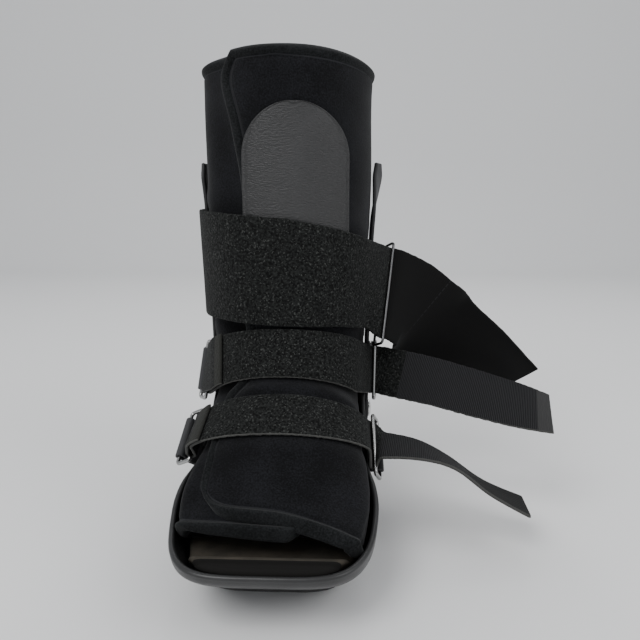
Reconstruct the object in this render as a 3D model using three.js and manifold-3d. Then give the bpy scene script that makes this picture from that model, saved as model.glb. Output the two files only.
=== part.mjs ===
// A medical walking boot: a rocker-soled plastic shell with two side stays, a padded wrap liner that
// opens down the front, a shin panel, and three closing straps with wire loops and free tails.
// Millimetres. +Z is up, the toe points along -Y, and the origin is on the floor below the leg's axis.
import * as THREE from "three";
import { mergeVertices } from "three/addons/utils/BufferGeometryUtils.js";
import Module from "manifold-3d";

const wasm = await Module();
wasm.setup();

// Driving dimensions
const CLEAR = 0.4; // gap between touching pieces
const LINER_TOP = 346; // height of the liner's rim at the front
const RIM_DIP = 6; // how much lower the rim is at the sides
const LEG_WIDTH = 127; // liner's outer width at the rim
const LEG_DEPTH = 150; // liner's outer depth, front to back
const LINER_WALL = 7; // padded fabric wall
const LINER_PLAY = 2.3; // room between the liner and the shell's walls
const INSTEP_HEIGHT = 157; // where the shin turns into the instep
const TOE_REACH = 202; // leg axis to the tip of the shell
const HEEL_REACH = 79; // leg axis to the back of the shell
const SHELL_WIDTH = 137; // shell's outer width at the forefoot
const HEEL_WIDTH = 120; // shell's outer width at the heel and ankle
const SHELL_WALL = 3.5;
const WING_HEIGHT = 135; // top of the shell's side wings
const SHELL_BASE = 14; // underside of the shell in the middle
const FLOOR_HEIGHT = 27; // top of the shell's floor
const TOE_SPRING = 10; // how far the sole's tip is lifted
const HEEL_SPRING = 5;
const TREAD_DEPTH = 2;
const TREAD_WIDTH = 4;
const TREAD_PITCH = 16;
const INSOLE_THICK = 6;
const STAY_WIDTH = 25;
const STAY_THICK = 3;
const STAY_TOP = 274;
const STAY_FOOT = 58; // lower end of the stays
const STAY_FLARE = 7; // how far the right stay's tip stands off the liner; the left one's a third of it
const RIVET_RADIUS = 7;
const RIVET_HEAD = 2.5;
const PANEL_WIDTH = 71;
const PANEL_TOP = 310;
const PANEL_FOOT = 172; // lower end of the panel, under the calf strap
const PANEL_THICK = 2;
const PANEL_OFFSET = 9; // panel's centre, to the boot's left of the leg's axis
const WIDE_STRAP = 76;
const NARROW_STRAP = 38;
const STRAP_THICK = 2.4;
const WEB_THICK = 1.6;
const WIRE = 3; // diameter of the wire loops
const LOOP_WINDOW = 12; // between the loops' two long bars, centre to centre
const CALF_TAIL = 133;
const ANKLE_TAIL = 142;
const FOREFOOT_TAIL = 120;
const UNDER_FLAP = THREE.MathUtils.degToRad(52); // how far the wrap runs on under its outer flap
const LEG_SQUARE = 2.25; // exponent of the liner's sections: 2 is an ellipse, a higher one is squarer
const FOOT_SQUARE = 4.2; // the same for the sole side of the foot's sections
const WALL_FREE = 15; // how far above the shell's rim the liner starts to spread again

// Values that follow from the sizes above
const SOLE_TOP = SHELL_BASE - CLEAR;
const INSOLE_TOP = FLOOR_HEIGHT + CLEAR + INSOLE_THICK;
const LINER_BASE = INSOLE_TOP + CLEAR;
const LINER_TOE = TOE_REACH - 19;
const WING_FACE = HEEL_WIDTH / 2;

// Colours and finishes
const FINISH = {
  liner: new THREE.MeshStandardMaterial({ color: 0x111216, roughness: 0.97 }),
  panel: new THREE.MeshStandardMaterial({ color: 0x2a2a2b, roughness: 0.6 }),
  strap: new THREE.MeshStandardMaterial({ color: 0x1b1c1c, roughness: 1 }),
  webbing: new THREE.MeshStandardMaterial({ color: 0x26272a, roughness: 0.7 }),
  steel: new THREE.MeshStandardMaterial({ color: 0xb8b8b6, roughness: 0.25, metalness: 1 }),
  stay: new THREE.MeshStandardMaterial({ color: 0x17181a, roughness: 0.35, metalness: 0.4 }),
  shell: new THREE.MeshStandardMaterial({ color: 0x2b2b2c, roughness: 0.55 }),
  sole: new THREE.MeshStandardMaterial({ color: 0x1c1c1d, roughness: 0.85 }),
  insole: new THREE.MeshStandardMaterial({ color: 0x2e2723, roughness: 0.9 }),
};

const boot = new THREE.Group();

function vec(x, y, z) {
  return new THREE.Vector3(x, y, z);
}

function mix(a, b, share) {
  return a + (b - a) * share;
}

function smooth(from, to, value) {
  const share = THREE.MathUtils.clamp((value - from) / (to - from), 0, 1);
  return share * share * (3 - 2 * share);
}

// Value of one column of a table at a fractional row, on a smooth curve through the rows.
function column(table, name, row) {
  const last = table.length - 1;
  const at = THREE.MathUtils.clamp(row, 0, last);
  const i = Math.min(Math.floor(at), last - 1);
  const t = at - i;
  const p = [-1, 0, 1, 2].map((k) => table[THREE.MathUtils.clamp(i + k, 0, last)][name]);
  const slope0 = (p[2] - p[0]) / 2;
  const slope1 = (p[3] - p[1]) / 2;
  const cubic = 2 * p[1] - 2 * p[2] + slope0 + slope1;
  const square = 3 * p[2] - 3 * p[1] - 2 * slope0 - slope1;
  return ((cubic * t + square) * t + slope0) * t + p[1];
}

// Value of a table's second column where its first column equals x, by straight lines.
function lookup(table, xName, yName, x) {
  const after = table.findIndex((row) => row[xName] >= x);
  if (after < 0) return table[table.length - 1][yName];
  if (after === 0) return table[0][yName];
  const a = table[after - 1];
  const b = table[after];
  return mix(a[yName], b[yName], (x - a[xName]) / (b[xName] - a[xName]));
}

// One closed body from points and triangles, turned so that its faces point out.
function addBody(name, finish, points, faces) {
  const volume = faces.reduce((sum, [a, b, c]) => {
    const cross = points[b].clone().cross(points[c]);
    return sum + points[a].dot(cross);
  }, 0);
  const order = volume > 0 ? faces : faces.map(([a, b, c]) => [a, c, b]);
  const geometry = new THREE.BufferGeometry().setFromPoints(points);
  geometry.setIndex(order.flat());
  geometry.computeVertexNormals();
  const mesh = new THREE.Mesh(geometry, finish);
  mesh.name = name;
  boot.add(mesh);
  return mesh;
}

// Two triangles for a four-cornered face; a corner given twice leaves one triangle.
function quad(faces, a, b, c, d) {
  if (a !== b && b !== c && c !== a) faces.push([a, b, c]);
  if (a !== c && c !== d && d !== a) faces.push([a, c, d]);
}

// A closed slab between two open grids of points, face and back.
function addSlab(name, finish, face, back) {
  const rows = face.length;
  const columns = face[0].length;
  const points = [...face.flat(), ...back.flat()];
  const half = rows * columns;
  const at = (i, j) => i * columns + j;
  const faces = [];
  for (let i = 0; i < rows - 1; i++) {
    for (let j = 0; j < columns - 1; j++) {
      quad(faces, at(i, j), at(i + 1, j), at(i + 1, j + 1), at(i, j + 1));
      quad(faces, half + at(i, j), half + at(i, j + 1), half + at(i + 1, j + 1), half + at(i + 1, j));
    }
    quad(faces, at(i, 0), half + at(i, 0), half + at(i + 1, 0), at(i + 1, 0));
    const j = columns - 1;
    quad(faces, at(i, j), at(i + 1, j), half + at(i + 1, j), half + at(i, j));
  }
  for (let j = 0; j < columns - 1; j++) {
    quad(faces, at(0, j), at(0, j + 1), half + at(0, j + 1), half + at(0, j));
    const i = rows - 1;
    quad(faces, at(i, j), half + at(i, j), half + at(i, j + 1), at(i, j + 1));
  }
  return addBody(name, finish, points, faces);
}

// A slab of even thickness about a grid of middle points.
function addSheet(name, finish, grid, thickness) {
  const rows = grid.length;
  const columns = grid[0].length;
  const shifted = (side) =>
    grid.map((row, i) =>
      row.map((point, j) => {
        const along = grid[Math.min(i + 1, rows - 1)][j].clone().sub(grid[Math.max(i - 1, 0)][j]);
        const across = row[Math.min(j + 1, columns - 1)].clone().sub(row[Math.max(j - 1, 0)]);
        return along.cross(across).setLength((side * thickness) / 2).add(point);
      }),
    );
  return addSlab(name, finish, shifted(1), shifted(-1));
}

// A closed body through a stack of rings that mirror left and right: ring point i faces point n - i,
// and the first and last rings are closed by strips across from side to side.
function addStack(name, finish, rings) {
  const count = rings[0].length;
  const faces = [];
  const at = (k, i) => k * count + (i % count);
  for (let k = 0; k < rings.length - 1; k++) {
    for (let i = 0; i < count; i++) {
      quad(faces, at(k, i), at(k, i + 1), at(k + 1, i + 1), at(k + 1, i));
    }
  }
  const last = rings.length - 1;
  for (let i = 0; i < count / 2; i++) {
    quad(faces, at(0, i), at(0, count - i), at(0, count - i - 1), at(0, i + 1));
    quad(faces, at(last, i), at(last, i + 1), at(last, count - i - 1), at(last, count - i));
  }
  return addBody(name, finish, rings.flat(), faces);
}

// A round bar bent into a closed loop along a path of points.
function addLoop(name, finish, path, radius) {
  const sides = 6;
  const count = path.length;
  const middle = path.reduce((sum, p) => sum.add(p), vec(0, 0, 0)).divideScalar(count);
  const side0 = path[0].clone().sub(middle);
  const flat = side0.cross(path[3].clone().sub(middle)).normalize();
  const points = path.flatMap((point, i) => {
    const tangent = path[(i + 1) % count].clone().sub(path[(i + count - 1) % count]).normalize();
    const out = tangent.cross(flat).normalize();
    return Array.from({ length: sides }, (_, k) => {
      const turn = (k / sides) * 2 * Math.PI;
      return out
        .clone()
        .multiplyScalar(Math.cos(turn) * radius)
        .addScaledVector(flat, Math.sin(turn) * radius)
        .add(point);
    });
  });
  const faces = [];
  const at = (i, k) => (i % count) * sides + (k % sides);
  for (let i = 0; i < count; i++) {
    for (let k = 0; k < sides; k++) quad(faces, at(i, k), at(i + 1, k), at(i + 1, k + 1), at(i, k + 1));
  }
  return addBody(name, finish, points, faces);
}

// Liner form: each row is one section, in the plane through a front point, a back point and the X axis.
// frontRise and backRise are shares of the height from the instep to the rim; frontFall and backFall of
// the height from the liner's base to the instep; reach and back of the way from the leg's front to the
// toe; half of the leg's half width; wall of the liner's wall; and flap, the place of the outer flap's
// edge, of the section's half width.
const LINER_ROWS = [
  { frontRise: 1, frontFall: 1, reach: 0, backRise: 1, backFall: 1, back: 0, half: 1.0, wall: 1, flap: 0.55 },
  { frontRise: 0.88, frontFall: 1, reach: 0, backRise: 0.88, backFall: 1, back: 0, half: 1.0, wall: 1, flap: 0.68 },
  { frontRise: 0.68, frontFall: 1, reach: 0, backRise: 0.66, backFall: 1, back: 0, half: 1.0, wall: 1, flap: 0.57 },
  { frontRise: 0.48, frontFall: 1, reach: 0, backRise: 0.42, backFall: 1, back: 0, half: 0.99, wall: 1, flap: 0.475 },
  { frontRise: 0.24, frontFall: 1, reach: 0, backRise: 0.12, backFall: 1, back: 0, half: 0.96, wall: 1, flap: 0.45 },
  { frontRise: 0, frontFall: 1, reach: 0, backRise: 0, backFall: 0.46, back: 0.01, half: 0.93, wall: 1, flap: 0.5 },
  { frontRise: 0, frontFall: 0.88, reach: 0.045, backRise: 0, backFall: 0.24, back: 0.045, half: 0.9, wall: 1, flap: 0.46 },
  { frontRise: 0, frontFall: 0.76, reach: 0.09, backRise: 0, backFall: 0.08, back: 0.15, half: 0.89, wall: 1, flap: 0.44 },
  { frontRise: 0, frontFall: 0.68, reach: 0.155, backRise: 0, backFall: 0, back: 0.86, half: 0.9, wall: 0.95, flap: 0.55 },
  { frontRise: 0, frontFall: 0.6, reach: 0.29, backRise: 0, backFall: 0, back: 1.02, half: 0.93, wall: 0.9, flap: 0.68 },
  { frontRise: 0, frontFall: 0.52, reach: 0.42, backRise: 0, backFall: 0, back: 1.17, half: 0.97, wall: 0.85, flap: 0.74 },
  { frontRise: 0, frontFall: 0.4, reach: 0.58, backRise: 0, backFall: 0, back: 1.57, half: 1.0, wall: 0.72, flap: 0.74 },
  { frontRise: 0, frontFall: 0.28, reach: 0.74, backRise: 0, backFall: 0, back: 1.93, half: 1.0, wall: 0.6, flap: 0.72 },
  { frontRise: 0, frontFall: 0.22, reach: 0.88, backRise: 0, backFall: 0, back: 2.14, half: 0.95, wall: 0.55, flap: 0.72 },
  { frontRise: 0, frontFall: 0.19, reach: 1, backRise: 0, backFall: 0, back: 2.3, half: 0.88, wall: 0.55, flap: 0.72 },
];
const RIM_FADE = 2; // the rim's dip at the sides fades out by this row
const INSTEP_ROW = 5; // the row where the shin turns into the instep

// One liner section: centre, half vector towards the front point, half width and wall.
function linerSection(row) {
  const at = (name) => column(LINER_ROWS, name, row);
  const fore = LINER_TOE - LEG_DEPTH / 2;
  const frontZ =
    LINER_BASE +
    (INSTEP_HEIGHT - LINER_BASE) * at("frontFall") +
    (LINER_TOP - INSTEP_HEIGHT) * at("frontRise");
  const backZ =
    LINER_BASE +
    (INSTEP_HEIGHT - LINER_BASE) * Math.max(at("backFall"), 0) +
    (LINER_TOP - INSTEP_HEIGHT) * at("backRise");
  const front = vec(0, -LEG_DEPTH / 2 - fore * at("reach"), frontZ);
  const back = vec(0, LEG_DEPTH / 2 - fore * at("back"), backZ);
  return {
    centre: front.clone().add(back).multiplyScalar(0.5),
    axis: front.clone().sub(back).multiplyScalar(0.5),
    half: (LEG_WIDTH / 2) * at("half"),
    wall: LINER_WALL * at("wall"),
    flap: at("flap"),
  };
}

// A point of the liner's outer face: angle 0 is the front, a quarter turn the side towards -X, and lift
// is its distance out from that face. The sole side of the foot's sections is squarer.
function linerPoint(row, angle, lift) {
  const section = linerSection(row);
  const sole = Math.cos(angle) < 0 ? smooth(INSTEP_ROW, INSTEP_ROW + 3, row) : 0;
  const round = 2 / mix(LEG_SQUARE, FOOT_SQUARE, sole);
  const power = (value) => Math.sign(value) * Math.abs(value) ** round;
  const depth = section.axis.length();
  const point = section.centre
    .clone()
    .add(vec(-(section.half + lift) * power(Math.sin(angle)), 0, 0))
    .addScaledVector(section.axis, ((depth + lift) / depth) * power(Math.cos(angle)));
  const room = Math.max(shellRoom(point.y, point.z) - LINER_PLAY + lift, 1);
  point.x = THREE.MathUtils.clamp(point.x, -room, room);
  point.z -= RIM_DIP * Math.sin(angle) ** 2 * (1 - smooth(0, RIM_FADE, row));
  return point;
}

// Half width of the space between the shell's walls at y and height z; it widens above the rim.
function shellRoom(y, z) {
  const rise = (z - FLOOR_HEIGHT) / (rimHeight(y) - FLOOR_HEIGHT);
  const free = 1.5 * Math.max(z - rimHeight(y) - WALL_FREE, 0);
  const inset = insetBy(lookup(WALL_LEAN, "rise", "inset", rise), SHELL_WALL);
  const toeHalf = y < WAIST;
  const reach = toeHalf ? TOE_REACH + WAIST - inset.toe : HEEL_REACH - WAIST - inset.heel;
  const power = toeHalf ? TOE_SQUARE : HEEL_SQUARE;
  const along = Math.min(Math.abs(y - WAIST) / reach, 1);
  return (shellHalf(y) - inset.side) * (1 - along ** power) ** (1 / power) + free;
}

// The row of the liner table whose outer face passes height z at this angle, found by halving.
function rowAtHeight(z, angle) {
  let high = 0;
  let low = INSTEP_ROW + 3;
  for (let i = 0; i < 24; i++) {
    const middle = (high + low) / 2;
    if (linerPoint(middle, angle, 0).z > z) high = middle;
    else low = middle;
  }
  return high;
}

// Angle at which the front of a section lies at a share of its half width, positive towards -X.
function angleAt(share) {
  return Math.sign(share) * Math.asin(Math.abs(share) ** (LEG_SQUARE / 2));
}

// The wrap: one padded sheet that starts under the outer flap, runs round the leg and the foot and ends
// at the outer flap's edge. Under the flap it lies one wall further in. ends tells how far towards the
// toe it runs: the row of the table where it stops, by turn about the foot.
function buildLiner() {
  const steps = 40;
  const rows = 18;
  const lastRow = LINER_ROWS.length - 1;
  const ends = [
    { turn: -1, row: 12 },
    { turn: 0, row: 12 },
    { turn: 0.25, row: 12.1 },
    { turn: 0.5, row: 12.5 },
    { turn: 0.75, row: lastRow },
    { turn: 0.9, row: 13.9 },
    { turn: 1, row: 13.4 },
    { turn: 1.05, row: 13.05 },
    { turn: 1.085, row: 12.65 },
    { turn: 1.11, row: 12.1 },
    { turn: 1.13, row: 11.4 },
  ];
  const face = [];
  const back = [];
  for (let i = 0; i <= rows; i++) {
    const faceRow = [];
    const backRow = [];
    for (let j = 0; j <= steps; j++) {
      const guess = linerSection((i / rows) * lastRow);
      const edge = angleAt(guess.flap);
      const angle = mix(edge - UNDER_FLAP, edge + 2 * Math.PI, j / steps);
      const end = lookup(ends, "turn", "row", angle / (2 * Math.PI));
      const row = (i / rows) * end;
      const wall = linerSection(row).wall;
      const tucked = 1 - smooth(edge + 0.12, edge + 0.65, angle);
      const sunk = (wall + CLEAR * 2) * tucked;
      faceRow.push(linerPoint(row, angle, -sunk));
      backRow.push(linerPoint(row, angle, -sunk - wall));
    }
    face.push(faceRow);
    back.push(backRow);
  }
  return addSlab("liner", FINISH.liner, face, back);
}

// Height of the shell's rim along the foot: along is a share of the shell's length from the toe,
// height a share of the wings' height.
const RIM_ROWS = [
  { along: 0, height: 0.333 },
  { along: 0.14, height: 0.345 },
  { along: 0.2, height: 0.38 },
  { along: 0.29, height: 0.46 },
  { along: 0.405, height: 0.49 },
  { along: 0.515, height: 0.55 },
  { along: 0.6, height: 0.64 },
  { along: 0.66, height: 0.76 },
  { along: 0.69, height: 0.92 },
  { along: 0.75, height: 1 },
  { along: 0.81, height: 0.94 },
  { along: 0.87, height: 0.73 },
  { along: 0.93, height: 0.58 },
  { along: 1, height: 0.54 },
];
const WAIST = -20; // Y where the toe half of the outline meets the heel half
const TOE_SQUARE = 4.4; // exponent of the outline's toe half: a higher one is squarer
const HEEL_SQUARE = 2.5;

// The shell's walls lean in towards the floor: inset is a share of SHELL_FOOT, rise of the wall's height.
const WALL_LEAN = [
  { rise: 0, inset: 0.45 },
  { rise: 0.55, inset: 0.1 },
  { rise: 1, inset: 0 },
];

function shellHalf(y) {
  return mix(SHELL_WIDTH, HEEL_WIDTH, smooth(-0.7 * TOE_REACH, -0.42 * TOE_REACH, y)) / 2;
}

function rimHeight(y) {
  const along = (TOE_REACH + y) / (TOE_REACH + HEEL_REACH);
  return WING_HEIGHT * lookup(RIM_ROWS, "along", "height", along);
}

// How far the rocker lifts the sole's underside at y: flat in the middle, raised at both ends.
function rocker(y) {
  const toe = THREE.MathUtils.clamp((-y / TOE_REACH - 0.46) / 0.35, 0, 2);
  const heel = THREE.MathUtils.clamp((y / HEEL_REACH - 0.45) / 0.4, 0, 2);
  return TOE_SPRING * toe ** 2 + HEEL_SPRING * heel ** 2;
}

// Plan outline of the foot, starting at the toe and turning to the left, drawn in by its insets.
function footOutline(count, inset) {
  return Array.from({ length: count }, (_, i) => {
    const turn = (i / count) * 2 * Math.PI;
    const along = Math.cos(turn);
    const across = Math.sin(turn);
    const toeHalf = along >= 0;
    const round = 2 / (toeHalf ? TOE_SQUARE : HEEL_SQUARE);
    const reach = toeHalf ? TOE_REACH + WAIST - inset.toe : HEEL_REACH - WAIST - inset.heel;
    const y = WAIST - Math.sign(along) * reach * Math.abs(along) ** round;
    const x = -Math.sign(across) * (shellHalf(y) - inset.side) * Math.abs(across) ** round;
    return vec(x, y, 0);
  });
}

function lifted(outline, height) {
  return outline.map((p) => vec(p.x, p.y, height(p.y)));
}

const SHELL_FOOT = { toe: 34, heel: 13, side: 11 }; // how far the shell's underside is drawn in

function insetBy(share, wall) {
  return {
    toe: SHELL_FOOT.toe * share + wall,
    heel: SHELL_FOOT.heel * share + wall,
    side: SHELL_FOOT.side * share + wall,
  };
}

// The plastic shell: an open tray with a raised rim, its side wings and a flat floor.
function buildShell() {
  const count = 56;
  const under = (y) => SHELL_BASE + rocker(y) * 0.5;
  const floor = () => FLOOR_HEIGHT;
  const rings = [
    lifted(footOutline(count, insetBy(1, 0)), under),
    lifted(footOutline(count, insetBy(0.45, 0)), (y) => mix(under(y), rimHeight(y), 0.28)),
    lifted(footOutline(count, insetBy(0.1, 0)), (y) => mix(under(y), rimHeight(y), 0.66)),
    lifted(footOutline(count, insetBy(0, 0)), rimHeight),
    lifted(footOutline(count, insetBy(0, SHELL_WALL)), rimHeight),
    lifted(footOutline(count, insetBy(0.1, SHELL_WALL)), (y) => mix(FLOOR_HEIGHT, rimHeight(y), 0.55)),
    lifted(footOutline(count, insetBy(0.45, SHELL_WALL)), floor),
  ];
  return addStack("foot_shell", FINISH.shell, rings);
}

function buildInsole() {
  const count = 40;
  const outline = footOutline(count, insetBy(0.5, SHELL_WALL + 2 * CLEAR));
  const top = footOutline(count, insetBy(0.42, SHELL_WALL + 3 * CLEAR));
  const rings = [
    lifted(outline, () => FLOOR_HEIGHT + CLEAR),
    lifted(top, () => INSOLE_TOP),
  ];
  return addStack("insole", FINISH.insole, rings);
}

// A closed mesh as a solid that can be cut.
function solidOf(geometry) {
  const bare = geometry.clone();
  bare.deleteAttribute("normal");
  bare.deleteAttribute("uv");
  const merged = mergeVertices(bare, 1e-4);
  return new wasm.Manifold(
    new wasm.Mesh({
      numProp: 3,
      vertProperties: new Float32Array(merged.attributes.position.array),
      triVerts: new Uint32Array(merged.index.array),
    }),
  );
}

// The rocker sole, with cross grooves cut into its underside.
function buildOutsole() {
  const count = 48;
  const inset = (extra) => ({
    toe: SHELL_FOOT.toe + extra,
    heel: SHELL_FOOT.heel + extra / 2,
    side: SHELL_FOOT.side + extra,
  });
  const rings = [
    lifted(footOutline(count, inset(6)), rocker),
    lifted(footOutline(count, inset(3)), (y) => rocker(y) + 3),
    lifted(footOutline(count, inset(2)), (y) => SOLE_TOP + rocker(y) * 0.5),
  ];
  const mesh = addStack("outsole", FINISH.sole, rings);
  let solid = solidOf(mesh.geometry);
  const first = -Math.floor((0.7 * TOE_REACH) / TREAD_PITCH);
  const last = Math.floor((0.7 * HEEL_REACH) / TREAD_PITCH);
  for (let k = first; k < last; k++) {
    const y = (k + 0.5) * TREAD_PITCH;
    const groove = new THREE.BoxGeometry(SHELL_WIDTH, TREAD_WIDTH, 2 * TREAD_DEPTH);
    groove.translate(0, y, rocker(y));
    solid = solid.subtract(solidOf(groove));
  }
  const cut = solid.getMesh();
  const geometry = new THREE.BufferGeometry();
  geometry.setAttribute("position", new THREE.BufferAttribute(cut.vertProperties, 3));
  geometry.setIndex(new THREE.BufferAttribute(cut.triVerts, 1));
  geometry.computeVertexNormals();
  mesh.geometry = geometry;
  return mesh;
}

// Inner face of a stay at height z: outside the wing low down, outside the liner further up.
function stayFace(side, z) {
  const row = rowAtHeight(z, Math.PI / 2);
  const wing = z < WING_HEIGHT + 8 ? WING_FACE : 0;
  const tip = side > 0 ? smooth(0.7 * STAY_TOP, STAY_TOP, z) : 0.3 * smooth(0.87 * STAY_TOP, STAY_TOP, z);
  const flare = STAY_FLARE * tip;
  return Math.max(wing, linerSection(row).half + 0.6) + CLEAR + flare;
}

function buildStay(side, name) {
  const rows = 14;
  const columns = 4;
  const grid = Array.from({ length: rows + 1 }, (_, i) => {
    const z = mix(STAY_FOOT, STAY_TOP, i / rows);
    const end = Math.min(z - STAY_FOOT, STAY_TOP - z);
    const half = (STAY_WIDTH / 2) * mix(0.55, 1, smooth(0, STAY_WIDTH / 2, end));
    const x = side * (stayFace(side, z) + STAY_THICK / 2);
    return Array.from({ length: columns + 1 }, (_, j) => vec(x, mix(-half, half, j / columns), z));
  });
  return addSheet(name, FINISH.stay, grid, STAY_THICK);
}

function buildRivet(side, name) {
  const profile = [
    new THREE.Vector2(0, 0),
    new THREE.Vector2(RIVET_RADIUS, 0),
    new THREE.Vector2(RIVET_RADIUS, RIVET_HEAD * 0.4),
    new THREE.Vector2(RIVET_RADIUS * 0.6, RIVET_HEAD),
    new THREE.Vector2(0, RIVET_HEAD),
  ];
  const head = new THREE.Mesh(new THREE.LatheGeometry(profile, 16), FINISH.steel);
  const z = STAY_FOOT + STAY_WIDTH * 0.6;
  head.rotation.z = (-side * Math.PI) / 2;
  head.position.set(side * (stayFace(side, z) + STAY_THICK + CLEAR), 0, z);
  head.name = name;
  boot.add(head);
}

// The shin panel: a tongue with a round top, on the liner's front face.
function buildPanel() {
  const rows = 14;
  const columns = 8;
  const radius = PANEL_WIDTH / 2;
  const grid = Array.from({ length: rows + 1 }, (_, i) => {
    const turn = Math.min(1, i / (rows * 0.6)) * (Math.PI / 2);
    const straight = Math.max(0, i / rows - 0.6) / 0.4;
    const z = mix(PANEL_TOP - radius * (1 - Math.cos(turn)), PANEL_FOOT, straight);
    const half = radius * Math.max(Math.sin(turn), 0.2);
    return Array.from({ length: columns + 1 }, (_, j) => {
      const x = PANEL_OFFSET + mix(-half, half, j / columns);
      const row = rowAtHeight(z, 0);
      const angle = -angleAt(x / linerSection(row).half);
      return linerPoint(row, angle, 2 * CLEAR + PANEL_THICK / 2);
    });
  });
  return addSheet("shin_panel", FINISH.panel, grid, PANEL_THICK);
}

// Wire loops. Each has a bar that the strap meets, given by its middle and its direction, and a window
// that opens from that bar towards the bar that the webbing keeper holds. height is a share of
// INSTEP_HEIGHT, fore a share of TOE_REACH towards the toe, and off the distance out from the wings.
const LOOPS = {
  calf: {
    side: 1, off: 17.5, fore: 0.095, height: 1.115, width: WIDE_STRAP,
    bar: vec(0.12, 0.45, 0.88), window: vec(-0.42, 0.9, 0),
  },
  ankleRight: {
    side: 1, off: 7.6, fore: 0.1, height: 0.713, width: NARROW_STRAP,
    bar: vec(0.02, 0.25, 0.95), window: vec(0.1, 1, 0),
  },
  ankleLeft: {
    side: -1, off: 4.2, fore: 0.13, height: 0.713, width: NARROW_STRAP,
    bar: vec(0.12, 0.25, 0.95), window: vec(-0.5, 0.87, 0),
  },
  forefootRight: {
    side: 1, off: 5.5, fore: 0.37, height: 0.455, width: NARROW_STRAP,
    bar: vec(-0.03, 0.7, 0.7), window: vec(0.3, 0.66, -0.66),
  },
  forefootLeft: {
    side: -1, off: 4.6, fore: 0.36, height: 0.485, width: NARROW_STRAP,
    bar: vec(0.06, 0.82, 0.52), window: vec(-0.85, 0.3, -0.45),
  },
};

// A loop's frame: the middle of its strap bar, the middle of its keeper bar, and unit vectors along
// its bars, across its window, and out of its plane away from the boot.
function loopFrame(loop) {
  const bar = loop.bar.clone().normalize();
  const window = loop.window.clone().addScaledVector(bar, -loop.window.dot(bar)).normalize();
  const out = bar.clone().cross(window);
  if (out.x * loop.side < 0) out.negate();
  const origin = vec(loop.side * (WING_FACE + loop.off), -loop.fore * TOE_REACH, loop.height * INSTEP_HEIGHT);
  const far = origin.clone().addScaledVector(window, LOOP_WINDOW);
  return { origin, far, bar, window, out };
}

function buildLoop(name, loop) {
  const frame = loopFrame(loop);
  const long = loop.width / 2 + WIRE + 2 * CLEAR;
  const corner = LOOP_WINDOW * 0.22;
  const path = [];
  const centres = [
    [long - corner, corner],
    [long - corner, LOOP_WINDOW - corner],
    [-long + corner, LOOP_WINDOW - corner],
    [-long + corner, corner],
  ];
  centres.forEach(([along, across], k) => {
    for (let i = 0; i <= 3; i++) {
      const turn = (k + i / 3 - 1) * (Math.PI / 2);
      path.push(
        frame.origin
          .clone()
          .addScaledVector(frame.bar, along + corner * Math.cos(turn))
          .addScaledVector(frame.window, across + corner * Math.sin(turn)),
      );
    }
  });
  return addLoop(name, FINISH.steel, path, WIRE / 2);
}

// A point on an arc about a bar's middle: turn 0 lies away from the band, a quarter turn outwards.
function aroundBar(middle, away, out, radius, turn) {
  return middle
    .clone()
    .addScaledVector(away, radius * Math.cos(turn))
    .addScaledVector(out, radius * Math.sin(turn));
}

// Unit vectors about a bar for a band that comes to it from a point: away from that point, and out of
// the boot, both square to the bar.
function barAxes(frame, middle, from) {
  const away = middle.clone().sub(from);
  away.addScaledVector(frame.bar, -away.dot(frame.bar)).normalize();
  const out = frame.bar.clone().cross(away);
  if (out.dot(frame.out) < 0) out.negate();
  return { away, out };
}

function middleOf([low, high]) {
  return low.clone().add(high).multiplyScalar(0.5);
}

// One line across a band: its lower and upper ends.
function line(middle, direction, width) {
  return [
    middle.clone().addScaledVector(direction, -width / 2),
    middle.clone().addScaledVector(direction, width / 2),
  ];
}

// Grid of a band from its lines, with points spread evenly across.
function bandGrid(lines, columns) {
  return lines.map(([low, high]) =>
    Array.from({ length: columns + 1 }, (_, j) => low.clone().lerp(high, j / columns)),
  );
}

// The webbing loop that holds a wire loop: it runs out from its anchor, round the wire and back.
function buildKeeper(name, loop, width, anchor) {
  const frame = loopFrame(loop);
  const radius = WIRE / 2 + CLEAR + WEB_THICK / 2;
  const { away, out } = barAxes(frame, frame.far, anchor.at);
  const lines = [];
  const anchorLine = (lift) =>
    line(anchor.at.clone().addScaledVector(anchor.out, lift), anchor.bar.clone().normalize(), width);
  lines.push(anchorLine(WEB_THICK + CLEAR));
  for (let i = 0; i <= 6; i++) {
    const turn = Math.PI / 2 - (i / 6) * Math.PI;
    lines.push(line(aroundBar(frame.far, away, out, radius, turn), frame.bar, width));
  }
  lines.push(anchorLine(0));
  return addSheet(name, FINISH.webbing, bandGrid(lines, 2), WEB_THICK);
}

// Free tails. right, fore and up are shares of the tail's length, from where it leaves the wire to the
// middle of the band; roll turns its upper edge, in degrees, towards the front (+) or the back (-).
const CALF_ROWS = [
  { right: 0, fore: 0, up: 0, roll: -20 },
  { right: 0.15, fore: -0.09, up: -0.09, roll: -10 },
  { right: 0.3, fore: -0.13, up: -0.235, roll: 16 },
  { right: 0.52, fore: -0.09, up: -0.4, roll: 32 },
  { right: 0.757, fore: -0.05, up: -0.556, roll: 50 },
];
const ANKLE_ROWS = [
  { right: 0, fore: 0, up: 0, roll: -15 },
  { right: 0.25, fore: 0.135, up: -0.015, roll: -32 },
  { right: 0.49, fore: 0.21, up: -0.06, roll: -36 },
  { right: 0.71, fore: 0.235, up: -0.115, roll: -42 },
  { right: 0.91, fore: 0.24, up: -0.165, roll: -58 },
];
const FOREFOOT_ROWS = [
  { right: 0, fore: 0, up: 0, roll: -82 },
  { right: 0.233, fore: 0.031, up: -0.009, roll: -90 },
  { right: 0.447, fore: 0.055, up: -0.084, roll: -100 },
  { right: 0.65, fore: 0.09, up: -0.222, roll: -98 },
  { right: 0.885, fore: 0.128, up: -0.325, roll: -93 },
];

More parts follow.
